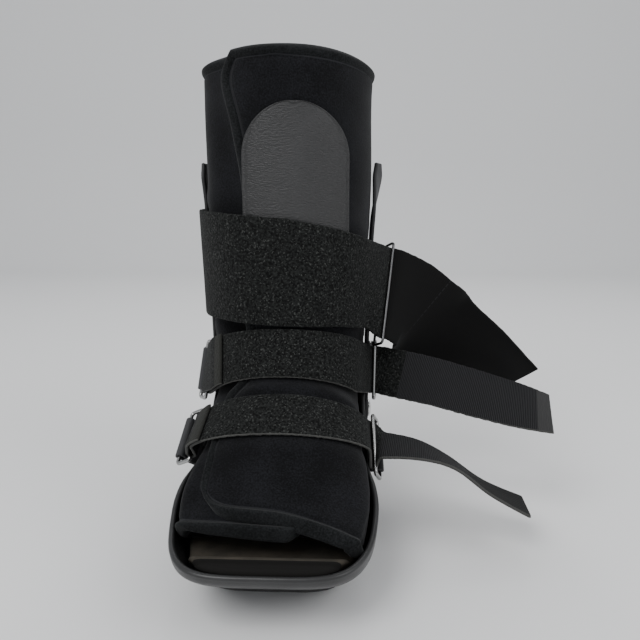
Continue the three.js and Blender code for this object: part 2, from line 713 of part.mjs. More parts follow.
// Lines of a tail that starts at a point.
function tailLines(start, rows, length, width, steps) {
  const place = (row) =>
    start
      .clone()
      .add(vec(column(rows, "right", row), -column(rows, "fore", row), column(rows, "up", row)).multiplyScalar(length));
  return Array.from({ length: steps }, (_, i) => {
    const row = ((i + 1) / steps) * (rows.length - 1);
    const tangent = place(row + 0.1).sub(place(row - 0.1));
    if (i === steps - 1) tangent.copy(place(row).sub(place(row - 0.2)));
    tangent.normalize();
    const roll = THREE.MathUtils.degToRad(column(rows, "roll", row));
    const direction = vec(0, -Math.sin(roll), Math.cos(roll));
    direction.addScaledVector(tangent, -direction.dot(tangent)).normalize();
    return line(place(row), direction, width);
  });
}

// Lines of a strap where it runs through a loop: under the strap bar and up into the window.
function threadLines(loop, width, leave, from) {
  const frame = loopFrame(loop);
  const { away, out } = barAxes(frame, frame.origin, from);
  const radius = WIRE / 2 + 2 * CLEAR + STRAP_THICK / 2;
  return Array.from({ length: 5 }, (_, i) => {
    const turn = mix(-Math.PI / 2, leave, i / 4);
    return line(aroundBar(frame.origin, away, out, radius, turn), frame.bar, width);
  });
}

// A strap over the instep: its sewn-back end, its turn round the left wire, its run over the liner
// between two rows of the liner's table, its way through the right wire, and its tail.
function buildInstepStrap(name, place) {
  const lift = 3 * CLEAR + STRAP_THICK / 2;
  const outer = lift + STRAP_THICK + CLEAR;
  const over = (angle, height) => {
    const shift = place.lift * smooth(0.3, 1, Math.abs(angle) / place.side);
    return [linerPoint(place.low, angle, height + shift), linerPoint(place.high, angle, height + shift)];
  };
  const left = loopFrame(place.left);
  const radius = WIRE / 2 + CLEAR + STRAP_THICK / 2;
  const lines = [];
  for (let i = 0; i <= 2; i++) lines.push(over(mix(place.fold, place.side, i / 2), outer));
  const { away, out } = barAxes(left, left.origin, middleOf(over(place.side, lift)));
  for (let i = 0; i <= 6; i++) {
    const turn = Math.PI / 2 - (i / 6) * Math.PI;
    lines.push(line(aroundBar(left.origin, away, out, radius, turn), left.bar, NARROW_STRAP));
  }
  for (let i = 0; i <= 14; i++) lines.push(over(mix(place.side, -place.side, i / 14), lift));
  const thread = threadLines(place.right, NARROW_STRAP, place.leave, middleOf(lines[lines.length - 1]));
  lines.push(...thread);
  const start = middleOf(thread[thread.length - 1]);
  lines.push(...tailLines(start, place.tail, place.length, NARROW_STRAP, 12));
  return addSheet(name, FINISH.strap, bandGrid(lines, 3), STRAP_THICK);
}

// The calf strap: from behind the right stay round the back, the left side and the front, through its
// wire loop, and out into its tail. low and high are heights, shares of INSTEP_HEIGHT.
const CALF_START = 240; // degrees about the leg, from the front towards -X
const CALF_END = -62;
const CALF_RUN = [
  { angle: CALF_START, low: 0.93, high: 1.41 },
  { angle: 180, low: 0.97, high: 1.46 },
  { angle: 90, low: 1.0, high: 1.52 },
  { angle: 45, low: 1.01, high: 1.51 },
  { angle: 0, low: 1.0, high: 1.485 },
  { angle: -35, low: 0.985, high: 1.43 },
  { angle: CALF_END, low: 0.95, high: 1.38 },
];

// A strap's point pushed out beside a stay, so that the strap clears the stay's face.
function clearOfStay(point) {
  const side = Math.sign(point.x);
  const face = stayFace(side, point.z) + STAY_THICK + 2 * CLEAR + STRAP_THICK / 2;
  const beside = 1 - smooth(STAY_WIDTH / 2 + STRAP_THICK, STAY_WIDTH, Math.abs(point.y));
  point.x += side * Math.max(face - Math.abs(point.x), 0) * beside;
  return point;
}

function buildCalfStrap() {
  const lift = PANEL_THICK + 3 * CLEAR + STRAP_THICK / 2;
  const overStay = STAY_THICK + 6 * CLEAR + STRAP_THICK / 2 - lift;
  const lines = [];
  const steps = 30;
  const run = CALF_RUN.map((row) => ({ ...row, angle: -row.angle }));
  for (let i = 0; i <= steps; i++) {
    const angle = mix(CALF_START, CALF_END, i / steps);
    const turn = THREE.MathUtils.degToRad(angle);
    const low = lookup(run, "angle", "low", -angle) * INSTEP_HEIGHT;
    const high = lookup(run, "angle", "high", -angle) * INSTEP_HEIGHT;
    const raised = lift + overStay * Math.sin(turn) ** 2;
    lines.push([low, high].map((z) => clearOfStay(linerPoint(rowAtHeight(z, turn), turn, raised))));
  }
  const thread = threadLines(LOOPS.calf, WIDE_STRAP, 0.5, middleOf(lines[lines.length - 1]));
  lines.push(...thread);
  const start = middleOf(thread[thread.length - 1]);
  lines.push(...tailLines(start, CALF_ROWS, CALF_TAIL, WIDE_STRAP, 12));
  return addSheet("calf_strap", FINISH.strap, bandGrid(lines, 4), STRAP_THICK);
}

function buildLoops() {
  buildLoop("calf_ring", LOOPS.calf);
  buildLoop("ankle_ring_right", LOOPS.ankleRight);
  buildLoop("ankle_ring_left", LOOPS.ankleLeft);
  buildLoop("forefoot_ring_right", LOOPS.forefootRight);
  buildLoop("forefoot_ring_left", LOOPS.forefootLeft);
}

// Each keeper's anchor is a line on the face that carries it: the stay's, or the shell's side.
function buildKeepers() {
  const onStay = (side, y, z) => ({
    at: vec(side * (stayFace(side, z) + STAY_THICK + CLEAR + WEB_THICK / 2), y, z),
    out: vec(side, 0, 0),
    bar: vec(0, 0.2, 1),
  });
  const onShell = (side, y, z) => ({
    at: vec(side * (WING_FACE + CLEAR + WEB_THICK / 2), y, z),
    out: vec(side, 0, 0),
    bar: vec(0, 0.8, 0.6),
  });
  buildKeeper("calf_keeper", LOOPS.calf, 0.8 * WIDE_STRAP, onStay(1, STAY_WIDTH / 2, LOOPS.calf.height * INSTEP_HEIGHT));
  const ankle = LOOPS.ankleLeft.height * INSTEP_HEIGHT;
  buildKeeper("ankle_keeper_left", LOOPS.ankleLeft, 0.9 * NARROW_STRAP, onStay(-1, STAY_WIDTH / 3, ankle));
  buildKeeper("ankle_keeper_right", LOOPS.ankleRight, 0.9 * NARROW_STRAP, onStay(1, STAY_WIDTH / 3, ankle));
  const fore = -0.27 * TOE_REACH;
  const low = 0.36 * INSTEP_HEIGHT;
  buildKeeper("forefoot_keeper_left", LOOPS.forefootLeft, 0.9 * NARROW_STRAP, onShell(-1, fore, low));
  buildKeeper("forefoot_keeper_right", LOOPS.forefootRight, 0.9 * NARROW_STRAP, onShell(1, fore, low));
}

buildOutsole();
buildShell();
buildInsole();
buildLiner();
buildPanel();
buildStay(-1, "upright_left");
buildStay(1, "upright_right");
buildRivet(-1, "pivot_left");
buildRivet(1, "pivot_right");
buildLoops();
buildKeepers();
buildCalfStrap();
buildInstepStrap("ankle_strap", {
  low: 7.4, high: 5.05, fold: 0.75, side: 1.0, lift: 1.5, leave: 0.4,
  left: LOOPS.ankleLeft, right: LOOPS.ankleRight, tail: ANKLE_ROWS, length: ANKLE_TAIL,
});
buildInstepStrap("forefoot_strap", {
  low: 10.2, high: 8.4, fold: 0.85, side: 1.15, lift: 2, leave: 0.4,
  left: LOOPS.forefootLeft, right: LOOPS.forefootRight, tail: FOREFOOT_ROWS, length: FOREFOOT_TAIL,
});

export default boot;
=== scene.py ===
"""A medical walking boot, dressed over its CAD frame: padded liner, shin panel, straps, wire loops,
plastic shell and side stays, in metres, in the frame's own axes."""

import math

import bpy
import numpy as np
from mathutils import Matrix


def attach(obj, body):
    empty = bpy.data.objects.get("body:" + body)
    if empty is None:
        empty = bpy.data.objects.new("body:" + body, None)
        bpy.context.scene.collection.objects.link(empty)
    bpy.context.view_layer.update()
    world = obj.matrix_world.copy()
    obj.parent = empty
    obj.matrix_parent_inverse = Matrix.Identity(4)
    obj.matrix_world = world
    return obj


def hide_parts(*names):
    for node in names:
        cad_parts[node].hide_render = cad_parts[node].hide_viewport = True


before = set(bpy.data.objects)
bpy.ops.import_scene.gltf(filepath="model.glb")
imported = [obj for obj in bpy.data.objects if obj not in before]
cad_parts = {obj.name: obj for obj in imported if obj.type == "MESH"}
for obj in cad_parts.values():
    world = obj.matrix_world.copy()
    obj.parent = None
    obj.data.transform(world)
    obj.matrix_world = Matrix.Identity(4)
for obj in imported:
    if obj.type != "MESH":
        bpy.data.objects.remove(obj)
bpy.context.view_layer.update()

bl_info = {
    "name": "Walking boot",
    "version": (1, 0, 0),
    "blender": (4, 5, 0),
    "location": "View3D > Sidebar > Walking boot",
    "description": "Builds a padded walking boot with straps, wire loops and a rocker sole",
    "category": "Object",
}

# Driving dimensions, the same as the frame's: metres, radians, powers and shares
CLEAR = 0.0004
LINER_TOP = 0.346
RIM_DIP = 0.006
LEG_WIDTH = 0.127
LEG_DEPTH = 0.150
LINER_WALL = 0.007
LINER_PLAY = 0.0023
INSTEP_HEIGHT = 0.157
TOE_REACH = 0.202
HEEL_REACH = 0.079
SHELL_WIDTH = 0.137
HEEL_WIDTH = 0.120
SHELL_WALL = 0.0035
WING_HEIGHT = 0.135
SHELL_BASE = 0.014
FLOOR_HEIGHT = 0.027
TOE_SPRING = 0.010
HEEL_SPRING = 0.005
INSOLE_THICK = 0.006
STAY_WIDTH = 0.025
STAY_THICK = 0.003
STAY_TOP = 0.274
STAY_FOOT = 0.058
STAY_FLARE = 0.007
RIVET_RADIUS = 0.007
RIVET_HEAD = 0.0025
PANEL_WIDTH = 0.071
PANEL_TOP = 0.310
PANEL_FOOT = 0.172
PANEL_THICK = 0.002
PANEL_OFFSET = 0.009
WIDE_STRAP = 0.076
NARROW_STRAP = 0.038
STRAP_THICK = 0.0024
WEB_THICK = 0.0016
WIRE = 0.003
LOOP_WINDOW = 0.012
CALF_TAIL = 0.133
ANKLE_TAIL = 0.142
FOREFOOT_TAIL = 0.120
UNDER_FLAP = math.radians(52)
LEG_SQUARE = 2.25
FOOT_SQUARE = 4.2
WALL_FREE = 0.015
WALL_SLOPE = 1.5
WAIST = -0.020
TOE_SQUARE = 4.4
HEEL_SQUARE = 2.5
TOE_GAP = 0.019
RIM_EASE = 0.022
SHELL_FOOT = {"toe": 0.034, "heel": 0.013, "side": 0.011}
ROCKER = {"toe": (0.46, 0.35), "heel": (0.45, 0.4)}

# Values that follow from them, and rows of the liner's table
LINER_BASE = FLOOR_HEIGHT + INSOLE_THICK + 2 * CLEAR
LINER_TOE = TOE_REACH - TOE_GAP
WING_FACE = HEEL_WIDTH / 2
INSTEP_ROW = 5
RIM_FADE = 2

# Sizes that only the dressed boot has
HEM = 0.0095
STITCH = 0.0012
RIB_PITCH = 0.0013
LINER_RUN = 0.46
LINER_GIRTH = 0.52
LINER_CELL = 0.0042
TOE_TUCK = math.radians(14)
TOE_CURL = 0.0035
CURL_RUN = 0.013
FLAP_CORNER = 0.5
CORNER_SHARE = 0.032
END_EASE = 0.018
INSOLE_RISE = 0.0115
INSOLE_CLIMB = 0.036
INSOLE_LEDGE = 0.0145
LEDGE_DROP = 0.0025
INSOLE_ROUND = 0.0025
STAY_TWIST = 0.3
STAY_ROUND = 0.0012
STAY_GAP = 0.0006
TWISTED_TIP = {"flare": 0.003, "start": 0.8}
RIM_GROOVE = 0.0027
CALF_SEAM = 0.034
FRAY = 0.0003
EDGE_MARKS = [0, 0.0004, 0.001, 0.0018]
VIEW = {"place": (0.0425, -0.501, 0.245), "tilt": 79.07, "turn": 2.2, "lens": 34.78}
HEM_MARKS = [
    0, 0.0005, 0.0013, 0.0025, 0.004, 0.006, 0.0075, 0.0085, 0.0095, 0.0105, 0.0115, 0.013, 0.015,
]

# Sections of the liner from its rim to the toe, as shares of the sizes above
LINER_ROWS = {
    "front_rise": [1, 0.88, 0.68, 0.48, 0.24, 0, 0, 0, 0, 0, 0, 0, 0, 0, 0],
    "front_fall": [1, 1, 1, 1, 1, 1, 0.88, 0.76, 0.68, 0.6, 0.52, 0.4, 0.28, 0.22, 0.19],
    "reach": [0, 0, 0, 0, 0, 0, 0.045, 0.09, 0.155, 0.29, 0.42, 0.58, 0.74, 0.88, 1],
    "back_rise": [1, 0.88, 0.66, 0.42, 0.12, 0, 0, 0, 0, 0, 0, 0, 0, 0, 0],
    "back_fall": [1, 1, 1, 1, 1, 0.46, 0.24, 0.08, 0, 0, 0, 0, 0, 0, 0],
    "back": [0, 0, 0, 0, 0, 0.01, 0.045, 0.15, 0.86, 1.02, 1.17, 1.57, 1.93, 2.14, 2.3],
    "half": [1, 1, 1, 0.99, 0.96, 0.93, 0.9, 0.89, 0.9, 0.93, 0.97, 1, 1, 0.95, 0.88],
    "wall": [1, 1, 1, 1, 1, 1, 1, 1, 0.95, 0.9, 0.85, 0.72, 0.6, 0.55, 0.55],
    "flap": [0.55, 0.68, 0.57, 0.475, 0.45, 0.5, 0.46, 0.44, 0.55, 0.68, 0.74, 0.74, 0.72, 0.72, 0.72],
}
# Row at which the liner ends, by turns of a circle from the front, and the shell's rim and walls
LINER_ENDS = {
    "turn": [-1, -0.08, 0, 0.12, 0.25, 0.5, 0.75, 0.85, 0.93, 1, 1.05, 1.085, 1.11, 1.13],
    "row": [13.55, 13.55, 13.45, 13.15, 12.85, 12.2, 14, 13.85, 13.4, 12.95, 12.8, 12.6, 12.1, 11.4],
}
RIM_ROWS = {
    "along": [0, 0.14, 0.2, 0.29, 0.405, 0.515, 0.6, 0.66, 0.69, 0.75, 0.81, 0.87, 0.93, 1],
    "height": [0.333, 0.345, 0.38, 0.46, 0.49, 0.55, 0.64, 0.76, 0.92, 1, 0.94, 0.73, 0.58, 0.54],
}
WALL_LEAN = {"rise": [0, 0.55, 1], "inset": [0.45, 0.1, 0]}
# The calf strap's edges round the leg, in degrees and instep heights, and the three tails
CALF_RUN = {
    "turn": [-240, -180, -90, -45, 0, 35, 62],
    "low": [0.93, 0.97, 1.0, 1.01, 1.0, 0.985, 0.95],
    "high": [1.41, 1.46, 1.52, 1.51, 1.485, 1.43, 1.38],
}
CALF_ROWS = {
    "right": [0, 0.15, 0.29, 0.52, 0.757],
    "fore": [0, -0.09, -0.13, -0.09, -0.05],
    "up": [0, -0.095, -0.245, -0.39, -0.556],
    "roll": [-20, -10, 9, 31, 50],
}
ANKLE_ROWS = {
    "right": [0, 0.25, 0.49, 0.71, 0.91],
    "fore": [0, 0.135, 0.21, 0.235, 0.24],
    "up": [0, -0.015, -0.06, -0.115, -0.165],
    "roll": [-15, -32, -36, -42, -58],
}
FOREFOOT_ROWS = {
    "right": [0, 0.233, 0.447, 0.65, 0.885],
    "fore": [0, 0.031, 0.055, 0.09, 0.128],
    "up": [0, -0.009, -0.084, -0.222, -0.325],
    "roll": [-82, -90, -100, -98, -93],
}
# Wire loops: where their strap bars sit, and how the loops hang
LOOPS = {
    "calf": {
        "side": 1, "off": 0.0175, "fore": 0.095, "height": 1.115, "width": WIDE_STRAP,
        "bar": (0.12, 0.45, 0.88), "window": (-0.42, 0.9, 0),
    },
    "ankle_right": {
        "side": 1, "off": 0.0076, "fore": 0.1, "height": 0.713, "width": NARROW_STRAP,
        "bar": (0.02, 0.25, 0.95), "window": (0.1, 1, 0),
    },
    "ankle_left": {
        "side": -1, "off": 0.0042, "fore": 0.13, "height": 0.713, "width": NARROW_STRAP,
        "bar": (0.12, 0.25, 0.95), "window": (-0.5, 0.87, 0),
    },
    "forefoot_right": {
        "side": 1, "off": 0.0055, "fore": 0.37, "height": 0.455, "width": NARROW_STRAP,
        "bar": (-0.03, 0.7, 0.7), "window": (0.3, 0.66, -0.66),
    },
    "forefoot_left": {
        "side": -1, "off": 0.0046, "fore": 0.36, "height": 0.485, "width": NARROW_STRAP,
        "bar": (0.06, 0.82, 0.52), "window": (-0.85, 0.3, -0.45),
    },
}
# The two instep straps: the liner's rows under their edges, angles, loops and tails
INSTEP_STRAPS = {
    "ankle_strap": {
        "low": 7.4, "high": 5.05, "fold": 0.75, "side": 1.0, "lift": 0.0015,
        "left": "ankle_left", "right": "ankle_right", "rows": ANKLE_ROWS, "tail": ANKLE_TAIL,
        "pile": 0.019, "end": 0.009, "tab": 0.014, "grey": 0.045,
    },
    "forefoot_strap": {
        "low": 10.2, "high": 8.4, "fold": 0.85, "side": 1.15, "lift": 0.002,
        "left": "forefoot_left", "right": "forefoot_right", "rows": FOREFOOT_ROWS,
        "tail": FOREFOOT_TAIL, "pile": 0.0, "end": 0.011, "tab": 0.052, "grey": 0.0135,
    },
}


# Curves and forms


def mix(a, b, share):
    return a + (b - a) * share


def smooth(start, end, value):
    share = np.clip((value - start) / (end - start), 0, 1)
    return share * share * (3 - 2 * share)


def column(table, name, row):
    """Value of a table's column at fractional rows: a Catmull-Rom curve through the rows."""
    values = np.asarray(table[name], float)
    last = len(values) - 1
    at = np.clip(np.asarray(row, float), 0, last)
    i = np.minimum(np.floor(at).astype(int), last - 1)
    t = at - i
    before, start, end, after = (values[np.clip(i + k, 0, last)] for k in (-1, 0, 1, 2))
    slope_start = (end - before) / 2
    slope_end = (after - start) / 2
    cubic = 2 * start - 2 * end + slope_start + slope_end
    square = 3 * end - 3 * start - 2 * slope_start - slope_end
    return ((cubic * t + square) * t + slope_start) * t + start


def unit(vector):
    return vector / np.linalg.norm(vector, axis=-1, keepdims=True)


def spread(length, cell, marks):
    """Positions from 0 to 1 along a length: the marks from both ends, and even cells between them."""
    marks = np.asarray(marks, float)
    inner = np.linspace(marks[-1], length - marks[-1], max(int(length / cell), 2))
    return np.concatenate([marks[:-1], inner, length - marks[-2::-1]]) / length


def rim_height(y):
    """Height of the shell's rim at y: the rim table by straight lines, averaged over a short window."""
    along = (TOE_REACH + np.asarray(y, float)) / (TOE_REACH + HEEL_REACH)
    window = np.linspace(-RIM_EASE, RIM_EASE, 9)
    heights = [np.interp(along + shift, RIM_ROWS["along"], RIM_ROWS["height"]) for shift in window]
    return WING_HEIGHT * np.mean(heights, axis=0)


def shell_half(y):
    return mix(SHELL_WIDTH, HEEL_WIDTH, smooth(-0.7 * TOE_REACH, -0.42 * TOE_REACH, y)) / 2


def rocker(y):
    """Lift of the sole's underside at y: a square law towards the toe and the heel, flat between."""
    rises = []
    for share, (start, run) in ((-y / TOE_REACH, ROCKER["toe"]), (y / HEEL_REACH, ROCKER["heel"])):
        rises.append(np.clip((share - start) / run, 0, 2))
    toe, heel = rises
    return TOE_SPRING * toe**2 + HEEL_SPRING * heel**2


def shell_room(y, z):
    """Half width between the shell's walls at y and z, from the superellipse of its outline."""
    rim = rim_height(y)
    rise = (z - FLOOR_HEIGHT) / (rim - FLOOR_HEIGHT)
    free = WALL_SLOPE * np.maximum(z - rim - WALL_FREE, 0)
    lean = np.interp(rise, WALL_LEAN["rise"], WALL_LEAN["inset"])
    toe_half = y < WAIST
    toe = TOE_REACH + WAIST - SHELL_FOOT["toe"] * lean - SHELL_WALL
    heel = HEEL_REACH - WAIST - SHELL_FOOT["heel"] * lean - SHELL_WALL
    power = np.where(toe_half, TOE_SQUARE, HEEL_SQUARE)
    along = np.minimum(np.abs(y - WAIST) / np.where(toe_half, toe, heel), 1)
    half = shell_half(y) - SHELL_FOOT["side"] * lean - SHELL_WALL
    return half * (1 - along**power) ** (1 / power) + free


def liner_half(row):
    return LEG_WIDTH / 2 * column(LINER_ROWS, "half", row)


def liner_point(row, angle, lift):
    """Outer face of the liner: a superellipse in the plane through a front and a back point of each
    section, squarer on the sole's side, kept within the shell's walls; lift is out from the face."""
    row = np.asarray(row, float)
    fore = LINER_TOE - LEG_DEPTH / 2
    shin = LINER_TOP - INSTEP_HEIGHT
    foot = INSTEP_HEIGHT - LINER_BASE
    front_y = -LEG_DEPTH / 2 - fore * column(LINER_ROWS, "reach", row)
    back_y = LEG_DEPTH / 2 - fore * column(LINER_ROWS, "back", row)
    front_z = LINER_BASE + foot * column(LINER_ROWS, "front_fall", row)
    front_z = front_z + shin * column(LINER_ROWS, "front_rise", row)
    back_z = LINER_BASE + foot * np.maximum(column(LINER_ROWS, "back_fall", row), 0)
    back_z = back_z + shin * column(LINER_ROWS, "back_rise", row)
    axis_y = (front_y - back_y) / 2
    axis_z = (front_z - back_z) / 2
    depth = np.hypot(axis_y, axis_z)
    sole = np.where(np.cos(angle) < 0, smooth(INSTEP_ROW, INSTEP_ROW + 3, row), 0)
    bend = 2 / mix(LEG_SQUARE, FOOT_SQUARE, sole)
    across = np.sign(np.sin(angle)) * np.abs(np.sin(angle)) ** bend
    ahead = np.sign(np.cos(angle)) * np.abs(np.cos(angle)) ** bend
    x = -(liner_half(row) + lift) * across
    y = (front_y + back_y) / 2 + axis_y * (depth + lift) / depth * ahead
    z = (front_z + back_z) / 2 + axis_z * (depth + lift) / depth * ahead
    room = np.maximum(shell_room(y, z) - LINER_PLAY + lift, 0.001)
    x = np.clip(x, -room, room)
    z = z - RIM_DIP * np.sin(angle) ** 2 * (1 - smooth(0, RIM_FADE, row))
    return np.stack(np.broadcast_arrays(x, y, z), axis=-1)


def row_at_height(z, angle, halvings=24):
    """Row of the liner table whose outer face passes height z at this angle, by halving."""
    z, angle = np.broadcast_arrays(np.asarray(z, float), np.asarray(angle, float))
    high = np.zeros(z.shape)
    low = np.full(z.shape, INSTEP_ROW + 3.0)
    for _ in range(halvings):
        middle = (high + low) / 2
        above = liner_point(middle, angle, 0)[..., 2] > z
        high = np.where(above, middle, high)
        low = np.where(above, low, middle)
    return high


def bell(value, middle, width):
    return np.exp(-(((value - middle) / width) ** 2))


def angle_at(share):
    return np.sign(share) * np.arcsin(np.clip(np.abs(share), 0, 1) ** (LEG_SQUARE / 2))


def unevenness(points, wave, seed):
    """Slow unevenness of cloth, about -1 to 1: eight sine waves in directions drawn from a seed."""
    rng = np.random.default_rng(seed)
    directions = unit(rng.normal(size=(8, 3))) * rng.uniform(0.6, 1.6, (8, 1)) * 2 * math.pi / wave
    phases = rng.uniform(0, 2 * math.pi, 8)
    return np.sin(points @ directions.T + phases).mean(axis=-1) * 1.6


# Meshes


def make_piece(name, points, faces, material, uv=None, corners=()):
    """One closed object from points, four-cornered faces and a few three-cornered ones, turned so
    that its faces point out."""
    a, b, c, d = (points[faces[:, k]] for k in range(4))
    volume = np.einsum("ij,ij->", a, np.cross(b, c) + np.cross(c, d))
    turn = -1 if volume < 0 else 1
    mesh = bpy.data.meshes.new(name)
    triangles = [corner[::turn] for corner in corners]
    mesh.from_pydata(points.tolist(), [], faces[:, ::turn].tolist() + triangles)
    mesh.polygons.foreach_set("use_smooth", np.ones(len(mesh.polygons), bool))
    if uv is not None:
        layer = mesh.uv_layers.new(name="cloth")
        used = np.empty(len(mesh.loops), np.int32)
        mesh.loops.foreach_get("vertex_index", used)
        layer.uv.foreach_set("vector", uv[used].astype(np.float32).ravel())
    mesh.materials.append(material)
    mesh.update()
    piece = bpy.data.objects.new(name, mesh)
    bpy.context.collection.objects.link(piece)
    return piece


def grid_faces(index):
    """Four-cornered faces of a grid of vertex numbers."""
    corners = (index[:-1, :-1], index[1:, :-1], index[1:, 1:], index[:-1, 1:])
    return np.stack(corners, axis=-1).reshape(-1, 4)


def distances(middle):
    """How far each point of a grid lies from the grid's nearest border, and its place along and
    across, by summed lengths of the grid's own lines."""
    down = np.linalg.norm(np.diff(middle, axis=0), axis=-1)
    over = np.linalg.norm(np.diff(middle, axis=1), axis=-1)
    along = np.concatenate([np.zeros((1, middle.shape[1])), np.cumsum(down, axis=0)])
    across = np.concatenate([np.zeros((middle.shape[0], 1)), np.cumsum(over, axis=1)], axis=1)
    ends = np.minimum(along, along[-1:] - along)
    sides = np.minimum(across, across[:, -1:] - across)
    return ends, sides, along, across


def round_off(distance, radius):
    """Share of the full thickness at a distance from the edge: a quarter circle."""
    return np.sqrt(1 - (1 - np.clip(distance / radius, 0, 1)) ** 2)


def thick_sheet(name, middle, half, material, *places):
    """A closed sheet about a grid of middle points: half is the vector from the middle to the face,
    nothing at the borders, where face and back share their points; places are its two UVs."""
    rows, columns = middle.shape[:2]
    uv = np.stack(places, axis=-1)
    front = np.arange(rows * columns).reshape(rows, columns)
    back = front.copy()
    inner = (rows - 2) * (columns - 2)
    back[1:-1, 1:-1] = rows * columns + np.arange(inner).reshape(rows - 2, columns - 2)
    points = np.concatenate([(middle + half).reshape(-1, 3), (middle - half)[1:-1, 1:-1].reshape(-1, 3)])
    faces = np.concatenate([grid_faces(front), grid_faces(back)[:, ::-1]])
    uvs = np.concatenate([uv.reshape(-1, 2), uv[1:-1, 1:-1].reshape(-1, 2)])
    return make_piece(name, points, faces, material, uvs)


def face_normals(grid):
    return unit(np.cross(np.gradient(grid, axis=0), np.gradient(grid, axis=1)))


def even_lines(lines, step, rounds):
    """A band's lines set at even steps along it, and its corners eased by short averages."""
    lines = np.asarray(lines)
    middle = lines.mean(axis=1)
    walked = np.concatenate([[0], np.cumsum(np.linalg.norm(np.diff(middle, axis=0), axis=-1))])
    length = walked[-1]
    places = spread(length, step, [*EDGE_MARKS, 0.003]) * length
    even = [np.interp(places, walked, lines[:, k, axis]) for k in range(2) for axis in range(3)]
    even = np.stack(even, axis=-1).reshape(-1, 2, 3)
    for _ in range(rounds):
        even[6:-6] = (even[5:-7] + 2 * even[6:-6] + even[7:-5]) / 4
    return even


def band_piece(name, lines, width, thickness, material, step=0.0014, waver=0.0, fray=0.0):
    """A strap: its lines made even, filled across, given thickness with round selvedges, and UVs in
    metres, u along it and v across it."""
    even = even_lines(lines, step, 4)
    across = spread(width, step, [*EDGE_MARKS, 0.003])
    grid = even[:, :1] + (even[:, 1:] - even[:, :1]) * across[None, :, None]
    normal = face_normals(grid)
    grid = grid + normal * (waver * unevenness(grid, wave=0.05, seed=3))[..., None]
    sideways = unit(even[:, 1:] - even[:, :1])
    ragged = unevenness(grid, wave=0.0032, seed=5) * fray * np.abs(2 * across - 1) ** 12
    grid = grid + sideways * ragged[..., None]
    ends, sides, along, _ = distances(grid)
    taper = round_off(ends, thickness / 2) * round_off(sides, thickness / 2)
    half = normal * (thickness / 2 * taper)[..., None]
    u = np.broadcast_to(along[:, along.shape[1] // 2][:, None], along.shape)
    v = np.broadcast_to(across[None, :] * width, along.shape)
    return thick_sheet(name, grid, half, material, u, v), float(u.max())


def tube_piece(name, path, radius, sides, material):
    """A closed round bar: circles square to a closed path, flat in one plane."""
    middle = path.mean(axis=0)
    flat = unit(np.cross(path[0] - middle, path[len(path) // 5] - middle))
    tangent = unit(np.roll(path, -1, axis=0) - np.roll(path, 1, axis=0))
    out = unit(np.cross(tangent, flat))
    turn = np.linspace(0, 2 * math.pi, sides, endpoint=False)[None, :, None]
    points = path[:, None] + radius * (np.cos(turn) * out[:, None] + np.sin(turn) * flat)
    count = len(path)
    index = np.arange(count * sides).reshape(count, sides)
    index = np.concatenate([index, index[:1]])
    index = np.concatenate([index, index[:, :1]], axis=1)
    return make_piece(name, points.reshape(-1, 3), grid_faces(index), material)


def stack_piece(name, rings, material):
    """A closed body through rings that mirror left and right, closed by strips from side to side."""
    levels, count = rings.shape[:2]
    index = np.arange(levels * count).reshape(levels, count)
    walls = grid_faces(np.concatenate([index, index[:, :1]], axis=1))
    i = np.arange(1, count // 2 - 1)
    strip = np.stack([i, i + 1, count - i - 1, count - i], axis=-1)
    corners = []
    for level, order in ((0, -1), (-1, 1)):
        for tip, side in ((0, 1), (count // 2, count // 2 - 1)):
            corner = index[level, [tip, count - side, side]].tolist()
            corners.append(corner[:: order if tip == 0 else -order])
    faces = np.concatenate([walls, index[0, strip], index[-1, strip[:, [0, 3, 2, 1]]]])
    return make_piece(name, rings.reshape(-1, 3), faces, material, corners=corners)


# Materials


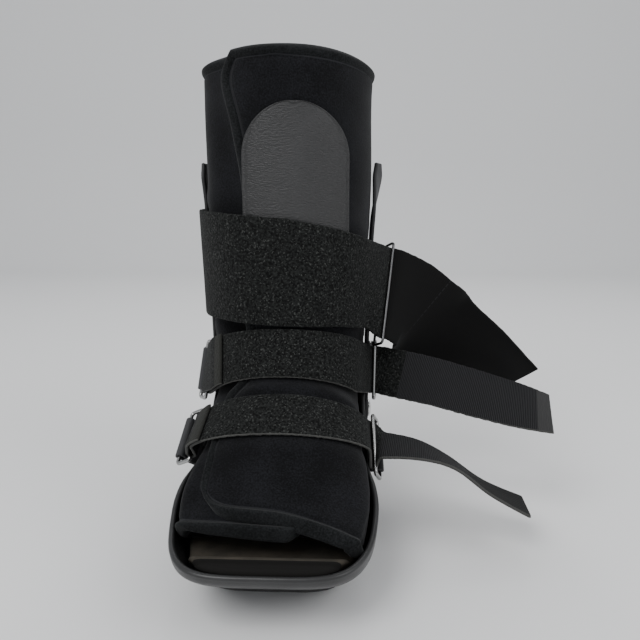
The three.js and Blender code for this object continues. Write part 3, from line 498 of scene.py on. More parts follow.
class Finish:
    """A node material under way: a Principled shader, object coordinates, and ways to add to it."""

    def __init__(self, name, colour, roughness, metallic=0.0):
        self.material = bpy.data.materials.new(name)
        self.material.use_nodes = True
        self.nodes = self.material.node_tree.nodes
        self.links = self.material.node_tree.links
        self.shader = self.nodes["Principled BSDF"]
        self.set("Base Color", (*colour, 1))
        self.set("Roughness", roughness)
        self.set("Metallic", metallic)
        if roughness > 0.8:
            self.set("Specular IOR Level", 0.15)
        self.place = self.nodes.new("ShaderNodeTexCoord").outputs["Object"]

    def set(self, socket, value):
        self.shader.inputs[socket].default_value = value

    def join(self, source, target):
        self.links.new(source, target)

    def paint(self, colour):
        self.join(colour, self.shader.inputs["Base Color"])

    def scaled(self, scale, source=None):
        node = self.nodes.new("ShaderNodeMapping")
        node.inputs["Scale"].default_value = scale
        self.join(source or self.place, node.inputs["Vector"])
        return node.outputs["Vector"]

    def noise(self, scale, detail=2.0, source=None):
        node = self.nodes.new("ShaderNodeTexNoise")
        node.inputs["Scale"].default_value = scale
        node.inputs["Detail"].default_value = detail
        self.join(source or self.place, node.inputs["Vector"])
        return node.outputs["Fac"]

    def ramp(self, source, *stops):
        """Colours of a value: two stops, each its position and its colour."""
        node = self.nodes.new("ShaderNodeValToRGB")
        for element, (position, colour) in zip(node.color_ramp.elements, stops):
            element.position = position
            element.color = (*colour, 1)
        self.join(source, node.inputs["Fac"])
        return node.outputs["Color"]

    def calc(self, kind, *values):
        """One sum on values: each is a number or an output that gives one."""
        node = self.nodes.new("ShaderNodeMath")
        node.operation = kind
        for socket, value in zip(node.inputs, values):
            if isinstance(value, (int, float)):
                socket.default_value = value
            else:
                self.join(value, socket)
        return node.outputs[0]

    def times(self, first, second):
        return self.calc("MULTIPLY", first, second)

    def away(self, source, middle):
        """How far a value lies from a middle one."""
        return self.calc("ABSOLUTE", self.calc("SUBTRACT", source, middle))

    def wave(self, source, pitch):
        """A sine wave along a place, from -1 to 1."""
        return self.calc("SINE", self.times(source, 2 * math.pi / pitch))

    def blend(self, factor, first, second):
        """A colour between two: each is a colour or an output that gives one."""
        node = self.nodes.new("ShaderNodeMix")
        node.data_type = "RGBA"
        self.join(factor, node.inputs["Factor"])
        for socket, value in ((node.inputs[6], first), (node.inputs[7], second)):
            if isinstance(value, tuple):
                socket.default_value = (*value, 1)
            else:
                self.join(value, socket)
        return node.outputs[2]

    def bump(self, height, distance, strength=1.0):
        node = self.nodes.new("ShaderNodeBump")
        node.inputs["Strength"].default_value = strength
        node.inputs["Distance"].default_value = distance
        self.join(height, node.inputs["Height"])
        self.join(node.outputs["Normal"], self.shader.inputs["Normal"])

    def parts(self, source):
        """First two parts of a place."""
        node = self.nodes.new("ShaderNodeSeparateXYZ")
        self.join(source, node.inputs["Vector"])
        return node.outputs["X"], node.outputs["Y"]

    def cloth_place(self):
        """Outputs for the place along and across a band, in metres."""
        node = self.nodes.new("ShaderNodeUVMap")
        node.uv_map = "cloth"
        return self.parts(node.outputs["UV"])


def liner_finish():
    """Brushed loop fabric, bluish black: fine fibre noise, slow cloudiness where the nap lies over."""
    finish = Finish("liner_fabric", (0.006, 0.0065, 0.009), 0.95)
    inset, _ = finish.cloth_place()
    cloud = finish.noise(28, 3)
    fibre = finish.noise(950, 3)
    nap = finish.calc("ADD", finish.times(cloud, 0.4), finish.times(fibre, 0.6))
    colour = finish.ramp(nap, (0.42, (0.0014, 0.0015, 0.002)), (0.64, (0.0098, 0.0102, 0.0124)))
    bound = finish.times(finish.calc("LESS_THAN", inset, HEM - 0.001), 0.75)
    hem = finish.ramp(nap, (0.42, (0.003, 0.0035, 0.0037)), (0.64, (0.0158, 0.0173, 0.0178)))
    colour = finish.blend(bound, colour, hem)
    stitch = finish.calc("LESS_THAN", finish.away(inset, HEM), STITCH / 2)
    colour = finish.blend(finish.times(stitch, 0.5), colour, (0.03, 0.031, 0.033))
    finish.paint(colour)
    finish.set("Sheen Weight", 0.06)
    finish.set("Sheen Roughness", 0.5)
    finish.bump(fibre, 0.0004, 0.6)
    return finish.material


def strap_finish(name, tape_from, ribbed, selvedge, fold=0.0, tab=None, seam=None):
    """Loop pile with pale specks, and past the length tape_from a hook tape, ribbed or smooth. A
    selvedge is a pale line along the lower edge, fold the length of the smooth sewn-back end, tab
    the length where a plain end begins and its grey, and seam the length where stitches cross."""
    finish = Finish(name, (0.012, 0.0125, 0.0125), 0.95)
    along, across = finish.cloth_place()
    tuft = finish.noise(620, 3)
    speck = finish.noise(760, 2)
    pile = finish.ramp(tuft, (0.38, (0.0018, 0.002, 0.0019)), (0.66, (0.0165, 0.0177, 0.0169)))
    bright = finish.times(finish.calc("GREATER_THAN", speck, 0.635), 0.7)
    pile = finish.blend(bright, pile, (0.062, 0.065, 0.061))
    pile = finish.blend(finish.calc("LESS_THAN", along, fold), pile, (0.024, 0.0245, 0.022))
    rib = finish.calc("MULTIPLY_ADD", finish.wave(along, RIB_PITCH), 0.5, 0.5)
    if ribbed:
        dark, light = (0.0078, 0.0078, 0.0083), (0.0305, 0.0305, 0.0325)
    else:
        dark, light = (0.004,) * 3, (0.0055,) * 3
    tape = finish.ramp(rib, (0.1, dark), (0.9, light))
    if tab:
        tape = finish.blend(finish.calc("GREATER_THAN", along, tab[0]), tape, (tab[1],) * 3)
    if seam:
        dash = finish.calc("GREATER_THAN", finish.calc("PINGPONG", across, 0.0024), 0.0007)
        thread = finish.times(finish.calc("LESS_THAN", finish.away(along, seam), 0.0004), dash)
        tape = finish.blend(finish.times(thread, 0.5), tape, (0.02, 0.02, 0.021))
    on_tape = finish.calc("GREATER_THAN", along, tape_from)
    colour = finish.blend(on_tape, pile, tape)
    if selvedge:
        edge = finish.times(finish.calc("LESS_THAN", across, 0.0007), 0.8)
        colour = finish.blend(edge, colour, (0.085, 0.085, 0.08))
    finish.paint(colour)
    finish.set("Sheen Weight", 0.03)
    relief = finish.times(tuft, finish.calc("SUBTRACT", 1.0, on_tape))
    if ribbed:
        relief = finish.calc("ADD", relief, finish.times(finish.times(rib, on_tape), 0.5))
    finish.bump(relief, 0.0012, 1.0)
    return finish.material


def webbing_finish():
    """Grey woven webbing: ribs along and across it."""
    finish = Finish("webbing", (0.03, 0.031, 0.033), 0.6)
    along, across = finish.cloth_place()
    weave = finish.times(finish.wave(along, 0.0014), finish.wave(across, 0.0009))
    tone = finish.calc("ADD", finish.times(weave, 0.4), 0.5)
    colour = finish.ramp(tone, (0.1, (0.014, 0.0145, 0.0155)), (0.9, (0.045, 0.046, 0.049)))
    finish.paint(colour)
    finish.bump(weave, 0.0003, 0.6)
    return finish.material


def panel_finish():
    """Dark grey leather with a fine grain drawn out sideways, and a painted highlight: a paler upright
    band down its middle.
    """
    finish = Finish("panel_leather", (0.015, 0.015, 0.0155), 0.4)
    grain = finish.noise(1050, 3, finish.scaled((0.4, 0.4, 1.2)))
    pores = finish.noise(1300, 2)
    colour = finish.ramp(grain, (0.34, (0.0055, 0.0055, 0.0057)), (0.68, (0.0165, 0.0165, 0.017)))
    _, across = finish.cloth_place()
    # Painted highlight: a paler upright band down the panel's middle, fading towards its sides.
    aside = finish.calc("DIVIDE", finish.away(across, 0.54 * PANEL_WIDTH), PANEL_WIDTH / 2)
    wear_and_highlight = finish.ramp(aside, (0.0, (0.5,) * 3), (0.85, (0.0,) * 3))
    colour = finish.blend(wear_and_highlight, colour, (0.028, 0.028, 0.0288))
    finish.paint(colour)
    finish.bump(finish.calc("ADD", grain, finish.times(pores, 0.4)), 0.0008, 0.9)
    return finish.material


def shell_finish():
    """Moulded dark grey plastic, a little paler in rubbed patches."""
    finish = Finish("shell_plastic", (0.014, 0.014, 0.0144), 0.4)
    rubbed = finish.noise(55, 4)
    colour = finish.ramp(rubbed, (0.35, (0.010, 0.010, 0.0103)), (0.75, (0.02, 0.02, 0.0205)))
    finish.paint(colour)
    finish.bump(finish.noise(900, 2), 0.0002, 0.5)
    return finish.material


def insole_finish():
    """Brown fabric, paler in patches of wear, with painted shade: the lower ledge past the end of its
    top layer is coloured much darker.
    """
    finish = Finish("insole_fabric", (0.075, 0.06, 0.048), 0.95)
    # Paler patches of real wear, at random.
    wear_and_highlight = finish.ramp(finish.noise(60, 3), (0.35, (0.034, 0.031, 0.0255)), (0.7, (0.062, 0.053, 0.042)))
    _, back = finish.parts(finish.place)
    # Painted shade: the lower ledge at the toe, under the liner's flap, is coloured far darker than the
    # fabric.
    ledge = finish.calc("LESS_THAN", back, INSOLE_LEDGE + SHELL_WALL - TOE_REACH)
    finish.paint(finish.blend(ledge, wear_and_highlight, (0.0095, 0.009, 0.0085)))
    finish.bump(finish.noise(700, 2), 0.0002, 0.6)
    return finish.material


def plain_finish(name, colour, roughness, metallic=0.0, grain=0.0):
    finish = Finish(name, colour, roughness, metallic)
    if grain:
        finish.bump(finish.noise(700, 2), grain, 0.6)
    return finish.material


# Pieces


def dress(piece, node):
    """Rides a piece on the boot, and hides the frame's node that it takes the place of."""
    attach(piece, "root")
    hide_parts(node)
    return piece


def calf_edge(name, degrees):
    """Height of the calf strap's low or high edge, by degrees from the front towards the right."""
    return np.interp(degrees, CALF_RUN["turn"], CALF_RUN[name]) * INSTEP_HEIGHT


def strap_press(face, row, angle):
    """How the straps press the padding: in under a band, and out in a soft roll beside its edges."""

    def squeeze(share):
        return 0.0013 * bell(share, 1.38, 0.3) - 0.0007 * np.exp(-((share / 0.9) ** 4))

    turn = np.angle(np.exp(1j * angle))
    press = np.zeros(row.shape)
    for sizes in INSTEP_STRAPS.values():
        middle = (sizes["low"] + sizes["high"]) / 2
        reach = (sizes["low"] - sizes["high"]) / 2
        press += squeeze(np.abs(row - middle) / reach) * (1 - smooth(0.9, 1.35, np.abs(turn)))
    degrees = -np.degrees(turn)
    low = calf_edge("low", degrees)
    high = calf_edge("high", degrees)
    share = np.abs(face[..., 2] - (low + high) / 2) / ((high - low) / 2)
    leg = 1 - smooth(INSTEP_ROW, INSTEP_ROW + 1, row)
    return press + squeeze(1 + (share - 1) * 1.8) * leg * (1 - 0.8 * smooth(70, 80, degrees))


def build_liner(puff, hem_roll, stitch_depth):
    """The padded wrap: a sheet that starts under the outer flap, goes once round and ends at the
    flap's edge. Rolled edges, a stitched groove behind them, and slow unevenness of the padding."""
    down = spread(LINER_RUN, LINER_CELL, HEM_MARKS)[:, None]
    around = spread(LINER_GIRTH, LINER_CELL, HEM_MARKS)[None, :]
    last = len(LINER_ROWS["half"]) - 1
    edge = angle_at(column(LINER_ROWS, "flap", down * last))
    tuck = UNDER_FLAP + TOE_TUCK * smooth(9, 12, down * last)
    angle = mix(edge - tuck, edge + 2 * math.pi, around)
    shares = angle[..., None] / (2 * math.pi) + np.linspace(-END_EASE, END_EASE, 9)
    row = down * np.interp(shares, LINER_ENDS["turn"], LINER_ENDS["row"]).mean(axis=-1)
    row = row - FLAP_CORNER * (1 - smooth(0, CORNER_SHARE, around)) * smooth(0.8, 1, down)
    wall = LINER_WALL * column(LINER_ROWS, "wall", row)
    tucked = 1 - smooth(edge + 0.12, edge + 0.65, angle)
    curl = TOE_CURL * (1 - smooth(0, CURL_RUN, (1 - down) * LINER_RUN))
    curl = curl * smooth(-0.2, 0.3, np.cos(angle))
    sunk = (wall + CLEAR * 2) * tucked + curl
    face = liner_point(row, angle, -sunk)
    back = liner_point(row, angle, -sunk - wall)
    middle = (face + back) / 2
    half = (face - back) / 2
    ends, sides, _, across = distances(middle)
    near = np.minimum(ends, sides)
    thickness = np.linalg.norm(half, axis=-1)
    groove = stitch_depth * bell(near, HEM, STITCH)
    roll = hem_roll * bell(near, HEM * 0.45, HEM * 0.36) * (1 + 0.7 * smooth(10, 12.5, row))
    free = smooth(HEM, HEM * 2.5, near)
    swell = (puff * unevenness(face, 0.07, 11) + strap_press(face, row, angle)) * free
    taper = round_off(near, HEM * 0.42)
    scale = taper * (1 + (swell + roll - groove) / np.maximum(thickness, 0.001))
    piece = thick_sheet("padded_liner", middle, half * scale[..., None], liner_finish(), near, across)
    dress(piece, "liner")


def build_panel():
    """The shin panel: a tongue with a round top, laid on the liner, with a raised rim."""
    radius = PANEL_WIDTH / 2
    turn = np.linspace(0.12, math.pi / 2, 40)
    cap_z = PANEL_TOP - radius * (1 - np.cos(turn))
    cap_half = radius * np.sin(turn)
    low_z = np.linspace(PANEL_TOP - radius, PANEL_FOOT, 70)[1:]
    z = np.concatenate([cap_z, low_z])[:, None]
    half_width = np.concatenate([cap_half, np.full(len(low_z), radius)])[:, None]
    share = spread(PANEL_WIDTH, 0.0016, [*EDGE_MARKS, 0.0026, 0.0034])[None, :]
    x = PANEL_OFFSET + half_width * (2 * share - 1)
    row = row_at_height(z, 0.0)
    angle = -angle_at(x / liner_half(row))
    middle = liner_point(row, angle, 2 * CLEAR + PANEL_THICK / 2)
    ends, sides, along, across = distances(middle)
    near = np.minimum(ends, sides)
    groove = 0.0006 * bell(near, RIM_GROOVE, 0.0006)
    half = PANEL_THICK / 2 * round_off(near, PANEL_THICK / 2) - groove * round_off(near, 0.002)
    half = face_normals(middle) * half[..., None]
    piece = thick_sheet("leather_shin_panel", middle, half, panel_finish(), along, across)
    dress(piece, "shin_panel")


def foot_outline(count, lean, wall):
    """Plan outline of the foot: a superellipse towards the toe and a rounder one towards the heel."""
    turn = np.arange(count) / count * 2 * math.pi
    along = np.cos(turn)
    across = np.sin(turn)
    toe_half = along >= 0
    bend = 2 / np.where(toe_half, TOE_SQUARE, HEEL_SQUARE)
    toe = TOE_REACH + WAIST - SHELL_FOOT["toe"] * lean - wall
    heel = HEEL_REACH - WAIST - SHELL_FOOT["heel"] * lean - wall
    y = WAIST - np.sign(along) * np.where(toe_half, toe, heel) * np.abs(along) ** bend
    half = shell_half(y) - SHELL_FOOT["side"] * lean - wall
    x = -np.sign(across) * half * np.where(np.abs(across) < 1e-9, 0, np.abs(across)) ** bend
    return np.stack([x, y, np.zeros(count)], axis=-1)


def ring(count, lean, wall, height):
    points = foot_outline(count, lean, wall)
    points[:, 2] = height(points[:, 1])
    return points


def build_shell():
    """The plastic tray: its outer wall, a rounded rim and its inner wall, down to the flat floor."""
    count = 256

    def under(y):
        return SHELL_BASE + rocker(y) * 0.5

    def crest(y):
        return rim_height(y) - SHELL_WALL / 2

    def wall_rings(table, inward, steps, foot):
        for row in np.linspace(0, 1, steps) * (len(table["lean"]) - 1):
            lean = float(np.clip(column(table, "lean", row), 0, 1))
            height = float(column(table, "height", row))
            rings.append(ring(count, lean, inward, lambda y: mix(foot(y), crest(y), height)))

    rings = []
    wall_rings({"lean": [1, 0.45, 0.1, 0], "height": [0, 0.28, 0.66, 1]}, 0, 22, under)
    for turn in np.linspace(0, math.pi, 9)[1:-1]:
        inward = SHELL_WALL / 2 * (1 - math.cos(turn))
        up = SHELL_WALL / 2 * math.sin(turn)
        rings.append(ring(count, 0, inward, lambda y: crest(y) + up))
    wall_rings({"lean": [0, 0.1, 0.45], "height": [1, 0.55, 0]}, SHELL_WALL, 16, lambda y: FLOOR_HEIGHT)
    dress(stack_piece("foot_tray", np.array(rings), shell_finish()), "foot_shell")


def build_insole():
    """The foot bed: a low pad with a rounded upper edge, which climbs at the toe to a lower ledge."""
    count = 480
    wall = SHELL_WALL + 3 * CLEAR
    low = FLOOR_HEIGHT + CLEAR
    toe = TOE_REACH - SHELL_WALL

    def top(y):
        rise = INSOLE_RISE * smooth(toe - INSOLE_CLIMB, toe - INSOLE_LEDGE, -y)
        return rise - LEDGE_DROP * smooth(toe - INSOLE_LEDGE, toe - INSOLE_LEDGE + 0.0015, -y)

    lean = 0.45 - 0.3 * smooth(0.65, 0.92, np.cos(np.arange(count) / count * 2 * math.pi))
    rings = [ring(count, 0.5, wall, lambda y: low + 0 * y)]
    for turn in np.linspace(0, math.pi / 2, 8):
        inward = INSOLE_ROUND * (1 - math.cos(turn))
        up = INSOLE_THICK - INSOLE_ROUND + INSOLE_ROUND * math.sin(turn)
        rings.append(ring(count, lean, wall + inward, lambda y: low + up + top(y)))
    piece = dress(stack_piece("cushion_insole", np.array(rings), insole_finish()), "insole")


def stay_face(side, z, flare=STAY_FLARE, start=0.7):
    """Inner face of a stay: outside the wing low down and the liner above, flaring at its top."""
    row = row_at_height(z, math.pi / 2)
    wing = np.where(z < WING_HEIGHT + 0.008, WING_FACE, 0)
    if side > 0:
        tip = smooth(start * STAY_TOP, STAY_TOP, z)
    else:
        tip = 0.3 * smooth(0.87 * STAY_TOP, STAY_TOP, z)
    return np.maximum(wing, liner_half(row) + STAY_GAP) + CLEAR + flare * tip


def build_stays():
    """The two side stays, bars with rounded edges and tapered ends, and their rivets."""
    paint = plain_finish("stay_gloss", (0.01, 0.01, 0.011), 0.6)
    steel = plain_finish("rivet_steel", (0.62, 0.62, 0.61), 0.25, 1.0)
    length = STAY_TOP - STAY_FOOT
    z = STAY_FOOT + length * spread(length, 0.002, EDGE_MARKS)
    end = np.minimum(z - STAY_FOOT, STAY_TOP - z)
    half = STAY_WIDTH / 2 * mix(0.55, 1, smooth(0, STAY_WIDTH / 2, end))
    share = spread(STAY_WIDTH, 0.0015, EDGE_MARKS)
    y = half[:, None] * (2 * share - 1)[None, :]
    kernel = np.ones(9) / 9
    for side, name in ((-1, "left"), (1, "right")):
        face = stay_face(side, z, **(TWISTED_TIP if side > 0 else {}))
        face[4:-4] = np.maximum(np.convolve(face, kernel, "valid"), face[4:-4])
        twist = STAY_TWIST * smooth(0.84 * STAY_TOP, STAY_TOP, z)[:, None] * y if side > 0 else 0 * y
        x = side * ((face + STAY_THICK / 2)[:, None] + twist)
        middle = np.stack([x, y, np.broadcast_to(z[:, None], y.shape)], axis=-1)
        ends, sides, along, across = distances(middle)
        taper = round_off(np.minimum(ends, sides), STAY_ROUND)
        half_vector = face_normals(middle) * (STAY_THICK / 2 * taper)[..., None]
        bar = thick_sheet("stay_" + name, middle, half_vector, paint, along, across)
        dress(bar, "upright_" + name)
        build_rivet(side, name, steel)


def build_rivet(side, name, steel):
    """A domed rivet head, turned about the X axis."""
    z = STAY_FOOT + STAY_WIDTH * 0.6
    base = float(stay_face(side, np.array(z))) + STAY_THICK + CLEAR
    turn = np.linspace(0, 2 * math.pi, 32, endpoint=False)
    dome = np.linspace(0, math.pi / 2, 9)[:-1]
    radii = np.concatenate([[RIVET_RADIUS], RIVET_RADIUS * np.cos(dome), [0.0004]])
    heights = np.concatenate([[0], 0.0004 + (RIVET_HEAD - 0.0004) * np.sin(dome), [RIVET_HEAD]])
    rings = np.stack([
        side * (base + np.broadcast_to(heights[:, None], (len(radii), 32))),
        radii[:, None] * np.sin(turn),
        z + radii[:, None] * np.cos(turn),
    ], axis=-1)
    dress(stack_piece("rivet_" + name, rings, steel), "pivot_" + name)


def loop_frame(loop):
    """Middles of a loop's strap bar and keeper bar, and its axes: along, across and out."""
    bar = unit(np.array(loop["bar"], float))
    window = np.array(loop["window"], float)
    window = unit(window - bar * (window @ bar))
    out = np.cross(bar, window)
    out = -out if out[0] * loop["side"] < 0 else out
    fore = -loop["fore"] * TOE_REACH
    origin = np.array([loop["side"] * (WING_FACE + loop["off"]), fore, loop["height"] * INSTEP_HEIGHT])
    far = origin + window * LOOP_WINDOW
    return {"origin": origin, "far": far, "bar": bar, "window": window, "out": out}


def bar_axes(place, middle, start):
    """Axes about a bar for a band that comes from a point: away from it, and out of the boot."""
    away = middle - start
    away = unit(away - place["bar"] * (away @ place["bar"]))
    out = np.cross(place["bar"], away)
    return away, (-out if out @ place["out"] < 0 else out)


def cross_line(middle, direction, width):
    return [middle - direction * width / 2, middle + direction * width / 2]


def arc_lines(place, middle, start, radius, turns, width):
    """Lines of a band on an arc about a bar."""
    away, out = bar_axes(place, middle, start)
    spots = (middle + radius * (math.cos(t) * away + math.sin(t) * out) for t in turns)
    return [cross_line(spot, place["bar"], width) for spot in spots]


def tail_lines(start, rows, length, width, steps):
    """Lines of a free strap end: its middle follows its table, and its roll turns the band."""

    def spot(row):
        shares = [column(rows, "right", row), -column(rows, "fore", row), column(rows, "up", row)]
        return start + length * np.array(shares, float)

    last = len(rows["right"]) - 1
    lines = []
    for i in range(1, steps + 1):
        row = i / steps * last
        tangent = unit(spot(min(row + 0.1, last)) - spot(row - 0.1))
        roll = math.radians(float(column(rows, "roll", row)))
        direction = np.array([0, -math.sin(roll), math.cos(roll)])
        direction = unit(direction - tangent * (direction @ tangent))
        lines.append(cross_line(spot(row), direction, width))
    return lines


def thread_lines(loop, leave, start):
    """Lines of a strap where it runs under a bar and up into the loop's window."""
    place = loop_frame(loop)
    radius = WIRE / 2 + 2 * CLEAR + STRAP_THICK / 2
    turns = np.linspace(-math.pi / 2, leave, 12)
    return arc_lines(place, place["origin"], start, radius, turns, loop["width"])


def middle_of(pair):
    return (pair[0] + pair[1]) / 2


def band_length(lines):
    middle = np.asarray(lines).mean(axis=1)
    return float(np.linalg.norm(np.diff(middle, axis=0), axis=-1).sum())


def add_strap(name, lines, width, finish, step=0.0014, waver=0.0003):
    """Adds a closing strap and rides it on the boot."""
    piece, length = band_piece("pile_" + name, lines, width, STRAP_THICK, finish, step, waver, FRAY)
    dress(piece, name)


def build_instep_strap(name, sizes):
    """A strap over the instep: its sewn-back end, round the left wire, over the liner, through
    the right wire, and its tail."""
    lift = 3 * CLEAR + STRAP_THICK / 2
    outer = lift + STRAP_THICK + CLEAR

    def over(angle, height):
        shift = sizes["lift"] * smooth(0.3, 1, abs(angle) / sizes["side"])
        return [liner_point(sizes[row], angle, height + shift) for row in ("low", "high")]

    left = loop_frame(LOOPS[sizes["left"]])
    radius = WIRE / 2 + CLEAR + STRAP_THICK / 2
    lines = [over(angle, outer) for angle in np.linspace(sizes["fold"], sizes["side"], 6)]
    start = middle_of(over(sizes["side"], lift))
    turns = np.linspace(math.pi / 2, -math.pi / 2, 13)
    lines += arc_lines(left, left["origin"], start, radius, turns, NARROW_STRAP)
    lines += [over(angle, lift) for angle in np.linspace(sizes["side"], -sizes["side"], 60)]
    lines += thread_lines(LOOPS[sizes["right"]], 0.4, middle_of(lines[-1]))
    leaves = band_length(lines)
    lines += tail_lines(middle_of(lines[-1]), sizes["rows"], sizes["tail"], NARROW_STRAP, 40)
    tab = (band_length(lines) - sizes["tab"], sizes["grey"])
    finish = strap_finish(name + "_pile", leaves + sizes["pile"], True, True, sizes["end"], tab)
    add_strap(name, lines, NARROW_STRAP, finish)


def clear_of_stay(points):
    """A strap's points pushed out beside a stay, so that the strap clears the stay's face."""
    left = points[..., 0] < 0
    z = points[..., 2]
    face = np.where(left, stay_face(-1, z), stay_face(1, z)) + STAY_THICK + 2 * CLEAR + STRAP_THICK / 2
    beside = 1 - smooth(STAY_WIDTH / 2 + STRAP_THICK, STAY_WIDTH, np.abs(points[..., 1]))
    push = np.maximum(face - np.abs(points[..., 0]), 0) * beside
    points[..., 0] += np.where(left, -push, push)
    return points


def build_calf_strap():
    """The wide strap: from behind the right stay round the back and the front, through its wire
    loop, and out into its tail."""
    lift = PANEL_THICK + 3 * CLEAR + STRAP_THICK / 2
    over_stay = STAY_THICK + 6 * CLEAR + STRAP_THICK / 2 - lift
    degrees = np.linspace(240, -62, 150)
    turn = np.radians(degrees)
    raised = lift + over_stay * np.sin(turn) ** 2
    sides = []
    for name in ("low", "high"):
        row = row_at_height(calf_edge(name, -degrees), turn)
        sides.append(clear_of_stay(liner_point(row, turn, raised)))
    lines = [list(pair) for pair in zip(*sides)]
    lines += thread_lines(LOOPS["calf"], 0.5, middle_of(lines[-1]))
    leaves = band_length(lines)
    finish = strap_finish("calf_strap_pile", leaves - 0.008, False, False, seam=leaves + CALF_SEAM)
    lines += tail_lines(middle_of(lines[-1]), CALF_ROWS, CALF_TAIL, WIDE_STRAP, 40)
    add_strap("calf_strap", lines, WIDE_STRAP, finish, step=0.002, waver=0.0004)


def build_wire_loop(name, loop, steel, wire=WIRE):
    """A wire bent to a rectangle with round corners."""
    place = loop_frame(loop)
    corner = LOOP_WINDOW * 0.22
    reach = loop["width"] / 2 + WIRE + 2 * CLEAR - corner
    far = LOOP_WINDOW - corner
    centres = [(reach, corner), (reach, far), (-reach, far), (-reach, corner)]
    path = []
    for k, (along, across) in enumerate(centres):
        for share in np.linspace(0, 1, 9):
            turn = (k + share - 1) * math.pi / 2
            path.append(
                place["origin"]
                + place["bar"] * (along + corner * math.cos(turn))
                + place["window"] * (across + corner * math.sin(turn))
            )
    dress(tube_piece("wire_" + name, np.array(path), wire / 2, 16, steel), name)


def build_keeper(name, loop, width, anchor, finish):
    """Webbing that holds a wire loop: out from its anchor, round the far bar and back."""
    place = loop_frame(loop)
    radius = WIRE / 2 + CLEAR + WEB_THICK / 2
    bar = unit(np.array(anchor["bar"], float))
    lines = [cross_line(anchor["at"] + anchor["out"] * (WEB_THICK + CLEAR), bar, width)]
    turns = np.linspace(math.pi / 2, -math.pi / 2, 13)
    lines += arc_lines(place, place["far"], anchor["at"], radius, turns, width)
    lines.append(cross_line(anchor["at"], bar, width))
    piece, length = band_piece("web_" + name, lines, width, WEB_THICK, finish, 0.0009)
    dress(piece, name)


def build_hardware():
    """All wire loops and the webbing keepers that hold them."""
    steel = plain_finish("loop_steel", (0.36, 0.36, 0.355), 0.2, 1.0)
    web = webbing_finish()

    def on_stay(side, y, height):
        z = height * INSTEP_HEIGHT
        x = side * (float(stay_face(side, np.array(z))) + STAY_THICK + CLEAR + WEB_THICK / 2)
        return {"at": np.array([x, y, z]), "out": np.array([side, 0, 0]), "bar": (0, 0.2, 1)}

    def on_shell(side):
        x = side * (WING_FACE + CLEAR + WEB_THICK / 2)
        at = np.array([x, -0.27 * TOE_REACH, 0.36 * INSTEP_HEIGHT])
        return {"at": at, "out": np.array([side, 0, 0]), "bar": (0, 0.8, 0.6)}

    calf = LOOPS["calf"]
    dark = plain_finish("dark_steel", (0.1, 0.1, 0.102), 0.28, 1.0)
    build_wire_loop("calf_ring", calf, dark, 0.7 * WIRE)
    anchor = on_stay(1, STAY_WIDTH / 2, calf["height"])
    build_keeper("calf_keeper", calf, 0.8 * WIDE_STRAP, anchor, web)
    for side, name in ((-1, "left"), (1, "right")):
        ankle = LOOPS["ankle_" + name]
        forefoot = LOOPS["forefoot_" + name]
        build_wire_loop("ankle_ring_" + name, ankle, steel)
        build_wire_loop("forefoot_ring_" + name, forefoot, steel)
        anchor = on_stay(side, STAY_WIDTH / 3, ankle["height"])
        width = 0.9 * NARROW_STRAP
        build_keeper("ankle_keeper_" + name, ankle, width, anchor, web)
        build_keeper("forefoot_keeper_" + name, forefoot, width, on_shell(side), web)


def build_straps():
    """The three closing straps."""
    build_calf_strap()
    for name, sizes in INSTEP_STRAPS.items():
        build_instep_strap(name, sizes)


def build_sole():
    """The rocker sole is the frame's own solid, in rubber."""
    sole = bpy.data.objects["outsole"]
    sole.data.materials.clear()
    sole.data.materials.append(plain_finish("sole_rubber", (0.009, 0.009, 0.0093), 0.75, grain=0.0003))


# Stage


def build_stage(looks):
    """A pale floor that curves up behind, three soft lamps, and the camera at the photo's place."""
    turn = np.linspace(0, math.pi / 2, 24)
    bend = 0.5
    back = 1.6
    y = np.concatenate([[-2.5], back + bend * np.sin(turn), [back + bend]])
    z = np.concatenate([[0], bend * (1 - np.cos(turn)), [3]])
    x = np.array([-4, 4])
    points = np.stack(np.broadcast_arrays(x[None, :], y[:, None], z[:, None]), axis=-1).reshape(-1, 3)
    faces = grid_faces(np.arange(len(y) * 2).reshape(-1, 2))[:, ::-1]
    mesh = bpy.data.meshes.new("floor")
    mesh.from_pydata(points.tolist(), [], faces.tolist())
    mesh.polygons.foreach_set("use_smooth", np.ones(len(faces), bool))
    mesh.materials.append(plain_finish("pale_floor", (looks.floor_grey,) * 3, 0.7))
    floor = bpy.data.objects.new("floor", mesh)
    bpy.context.collection.objects.link(floor)
    for name, place, aim, power in (
        ("key_lamp", (-0.7, -1.1, 1.5), (0, -0.05, 0.15), looks.key_power),
        ("side_lamp", (1.2, -0.6, 1.0), (0, -0.05, 0.15), looks.fill_power),
        ("back_lamp", (0.1, 1.1, 1.4), (0, 0, 0.25), looks.fill_power),
    ):
        light = bpy.data.lights.new(name, "AREA")
        light.size = 0.9
        light.energy = power
        lamp = bpy.data.objects.new(name, light)
        lamp.location = place
        offset = np.array(aim) - np.array(place)
        lamp.rotation_euler = (
            math.acos(-offset[2] / np.linalg.norm(offset)),
            0,
            math.atan2(offset[1], offset[0]) - math.pi / 2,
        )
        bpy.context.collection.objects.link(lamp)
    world = bpy.data.worlds.new("studio")
    world.use_nodes = True
    sky = world.node_tree.nodes["Background"]
    sky.inputs["Color"].default_value = (0.95, 0.97, 1, 1)
    sky.inputs["Strength"].default_value = looks.sky
    bpy.context.scene.world = world
    view = bpy.data.cameras.new("view")
    view.lens = VIEW["lens"]
    view.sensor_width = 36
    camera = bpy.data.objects.new("view", view)
    camera.location = VIEW["place"]
    camera.rotation_euler = (math.radians(VIEW["tilt"]), 0, math.radians(VIEW["turn"]))
    bpy.context.collection.objects.link(camera)
    bpy.context.scene.camera = camera


# Add-on


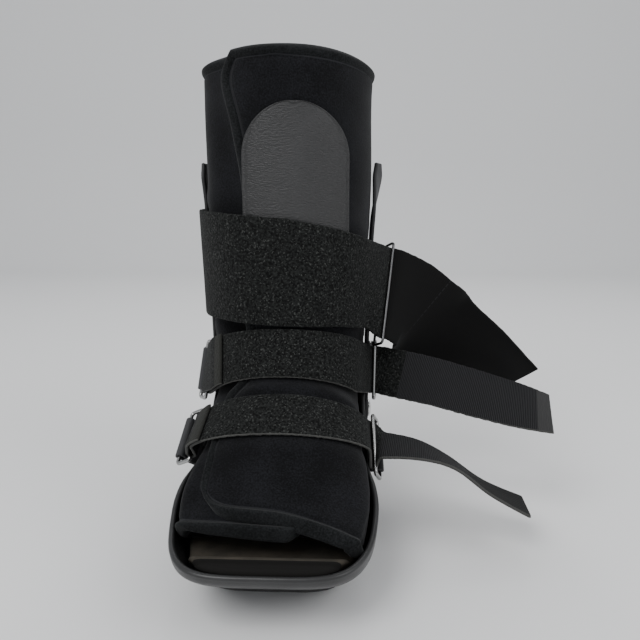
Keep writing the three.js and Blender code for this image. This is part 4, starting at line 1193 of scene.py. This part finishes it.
class BootLooks(bpy.types.PropertyGroup):
    """How soft the liner looks."""

    puff: bpy.props.FloatProperty(
        name="Puff", description="Unevenness of the liner's padding", default=0.0006, unit="LENGTH"
    )
    hem_roll: bpy.props.FloatProperty(
        name="Hem roll", description="How far the liner's hem swells", default=0.0016, unit="LENGTH"
    )
    stitch_depth: bpy.props.FloatProperty(
        name="Stitch depth", description="How deep the stitching pulls in", default=0.0018, unit="LENGTH"
    )


class StageLooks(bpy.types.PropertyGroup):
    """Light and floor."""

    floor_grey: bpy.props.FloatProperty(
        name="Floor", description="Floor's grey", default=0.8, subtype="FACTOR"
    )
    key_power: bpy.props.FloatProperty(name="Key", description="Main lamp", default=20, unit="POWER")
    fill_power: bpy.props.FloatProperty(
        name="Fill", description="Side and back lamps", default=7, unit="POWER"
    )
    sky: bpy.props.FloatProperty(name="Sky", description="Soft light from all round", default=0.7)


class Adder:
    """What the boot's operators share: each builds its own pieces."""

    def execute(self, context):
        self.build(context.scene)
        return {"FINISHED"}


class AddLiner(Adder, bpy.types.Operator):
    """Adds the padded liner and the shin panel"""

    bl_idname = "boot.add_liner"
    bl_label = "Add liner and panel"

    def build(self, scene):
        looks = scene.boot_looks
        build_liner(looks.puff, looks.hem_roll, looks.stitch_depth)
        build_panel()


class AddShell(Adder, bpy.types.Operator):
    """Adds the plastic shell, the insole and the sole's rubber"""

    bl_idname = "boot.add_shell"
    bl_label = "Add shell and sole"

    def build(self, scene):
        build_shell()
        build_insole()
        build_sole()


class AddStays(Adder, bpy.types.Operator):
    """Adds the side stays and their rivets"""

    bl_idname = "boot.add_stays"
    bl_label = "Add stays"

    def build(self, scene):
        build_stays()


class AddStraps(Adder, bpy.types.Operator):
    """Adds the three straps with their tails"""

    bl_idname = "boot.add_straps"
    bl_label = "Add straps"

    def build(self, scene):
        build_straps()


class AddHardware(Adder, bpy.types.Operator):
    """Adds the wire loops and their webbing keepers"""

    bl_idname = "boot.add_hardware"
    bl_label = "Add wire loops"

    def build(self, scene):
        build_hardware()


class AddStage(Adder, bpy.types.Operator):
    """Adds the floor, the lamps and the camera"""

    bl_idname = "boot.add_stage"
    bl_label = "Add stage"

    def build(self, scene):
        build_stage(scene.boot_stage)


OPERATORS = (AddLiner, AddShell, AddStays, AddStraps, AddHardware, AddStage)


class BootPanel(bpy.types.Panel):
    """Buttons for the boot's pieces"""

    bl_idname = "VIEW3D_PT_walking_boot"
    bl_label = "Walking boot"
    bl_space_type = "VIEW_3D"
    bl_region_type = "UI"
    bl_category = "Walking boot"

    def draw(self, context):
        for group in (context.scene.boot_looks, context.scene.boot_stage):
            for name in group.__annotations__:
                self.layout.prop(group, name)
        for operator in OPERATORS:
            self.layout.operator(operator.bl_idname)


CLASSES = (BootLooks, StageLooks, *OPERATORS, BootPanel)


def register():
    for cls in CLASSES:
        bpy.utils.register_class(cls)
    bpy.types.Scene.boot_looks = bpy.props.PointerProperty(type=BootLooks)
    bpy.types.Scene.boot_stage = bpy.props.PointerProperty(type=StageLooks)


def unregister():
    del bpy.types.Scene.boot_stage
    del bpy.types.Scene.boot_looks
    for cls in reversed(CLASSES):
        bpy.utils.unregister_class(cls)


def main():
    register()
    bpy.ops.boot.add_liner()
    bpy.ops.boot.add_shell()
    bpy.ops.boot.add_stays()
    bpy.ops.boot.add_hardware()
    bpy.ops.boot.add_straps()
    bpy.ops.boot.add_stage()


if __name__ == "__main__":
    main()
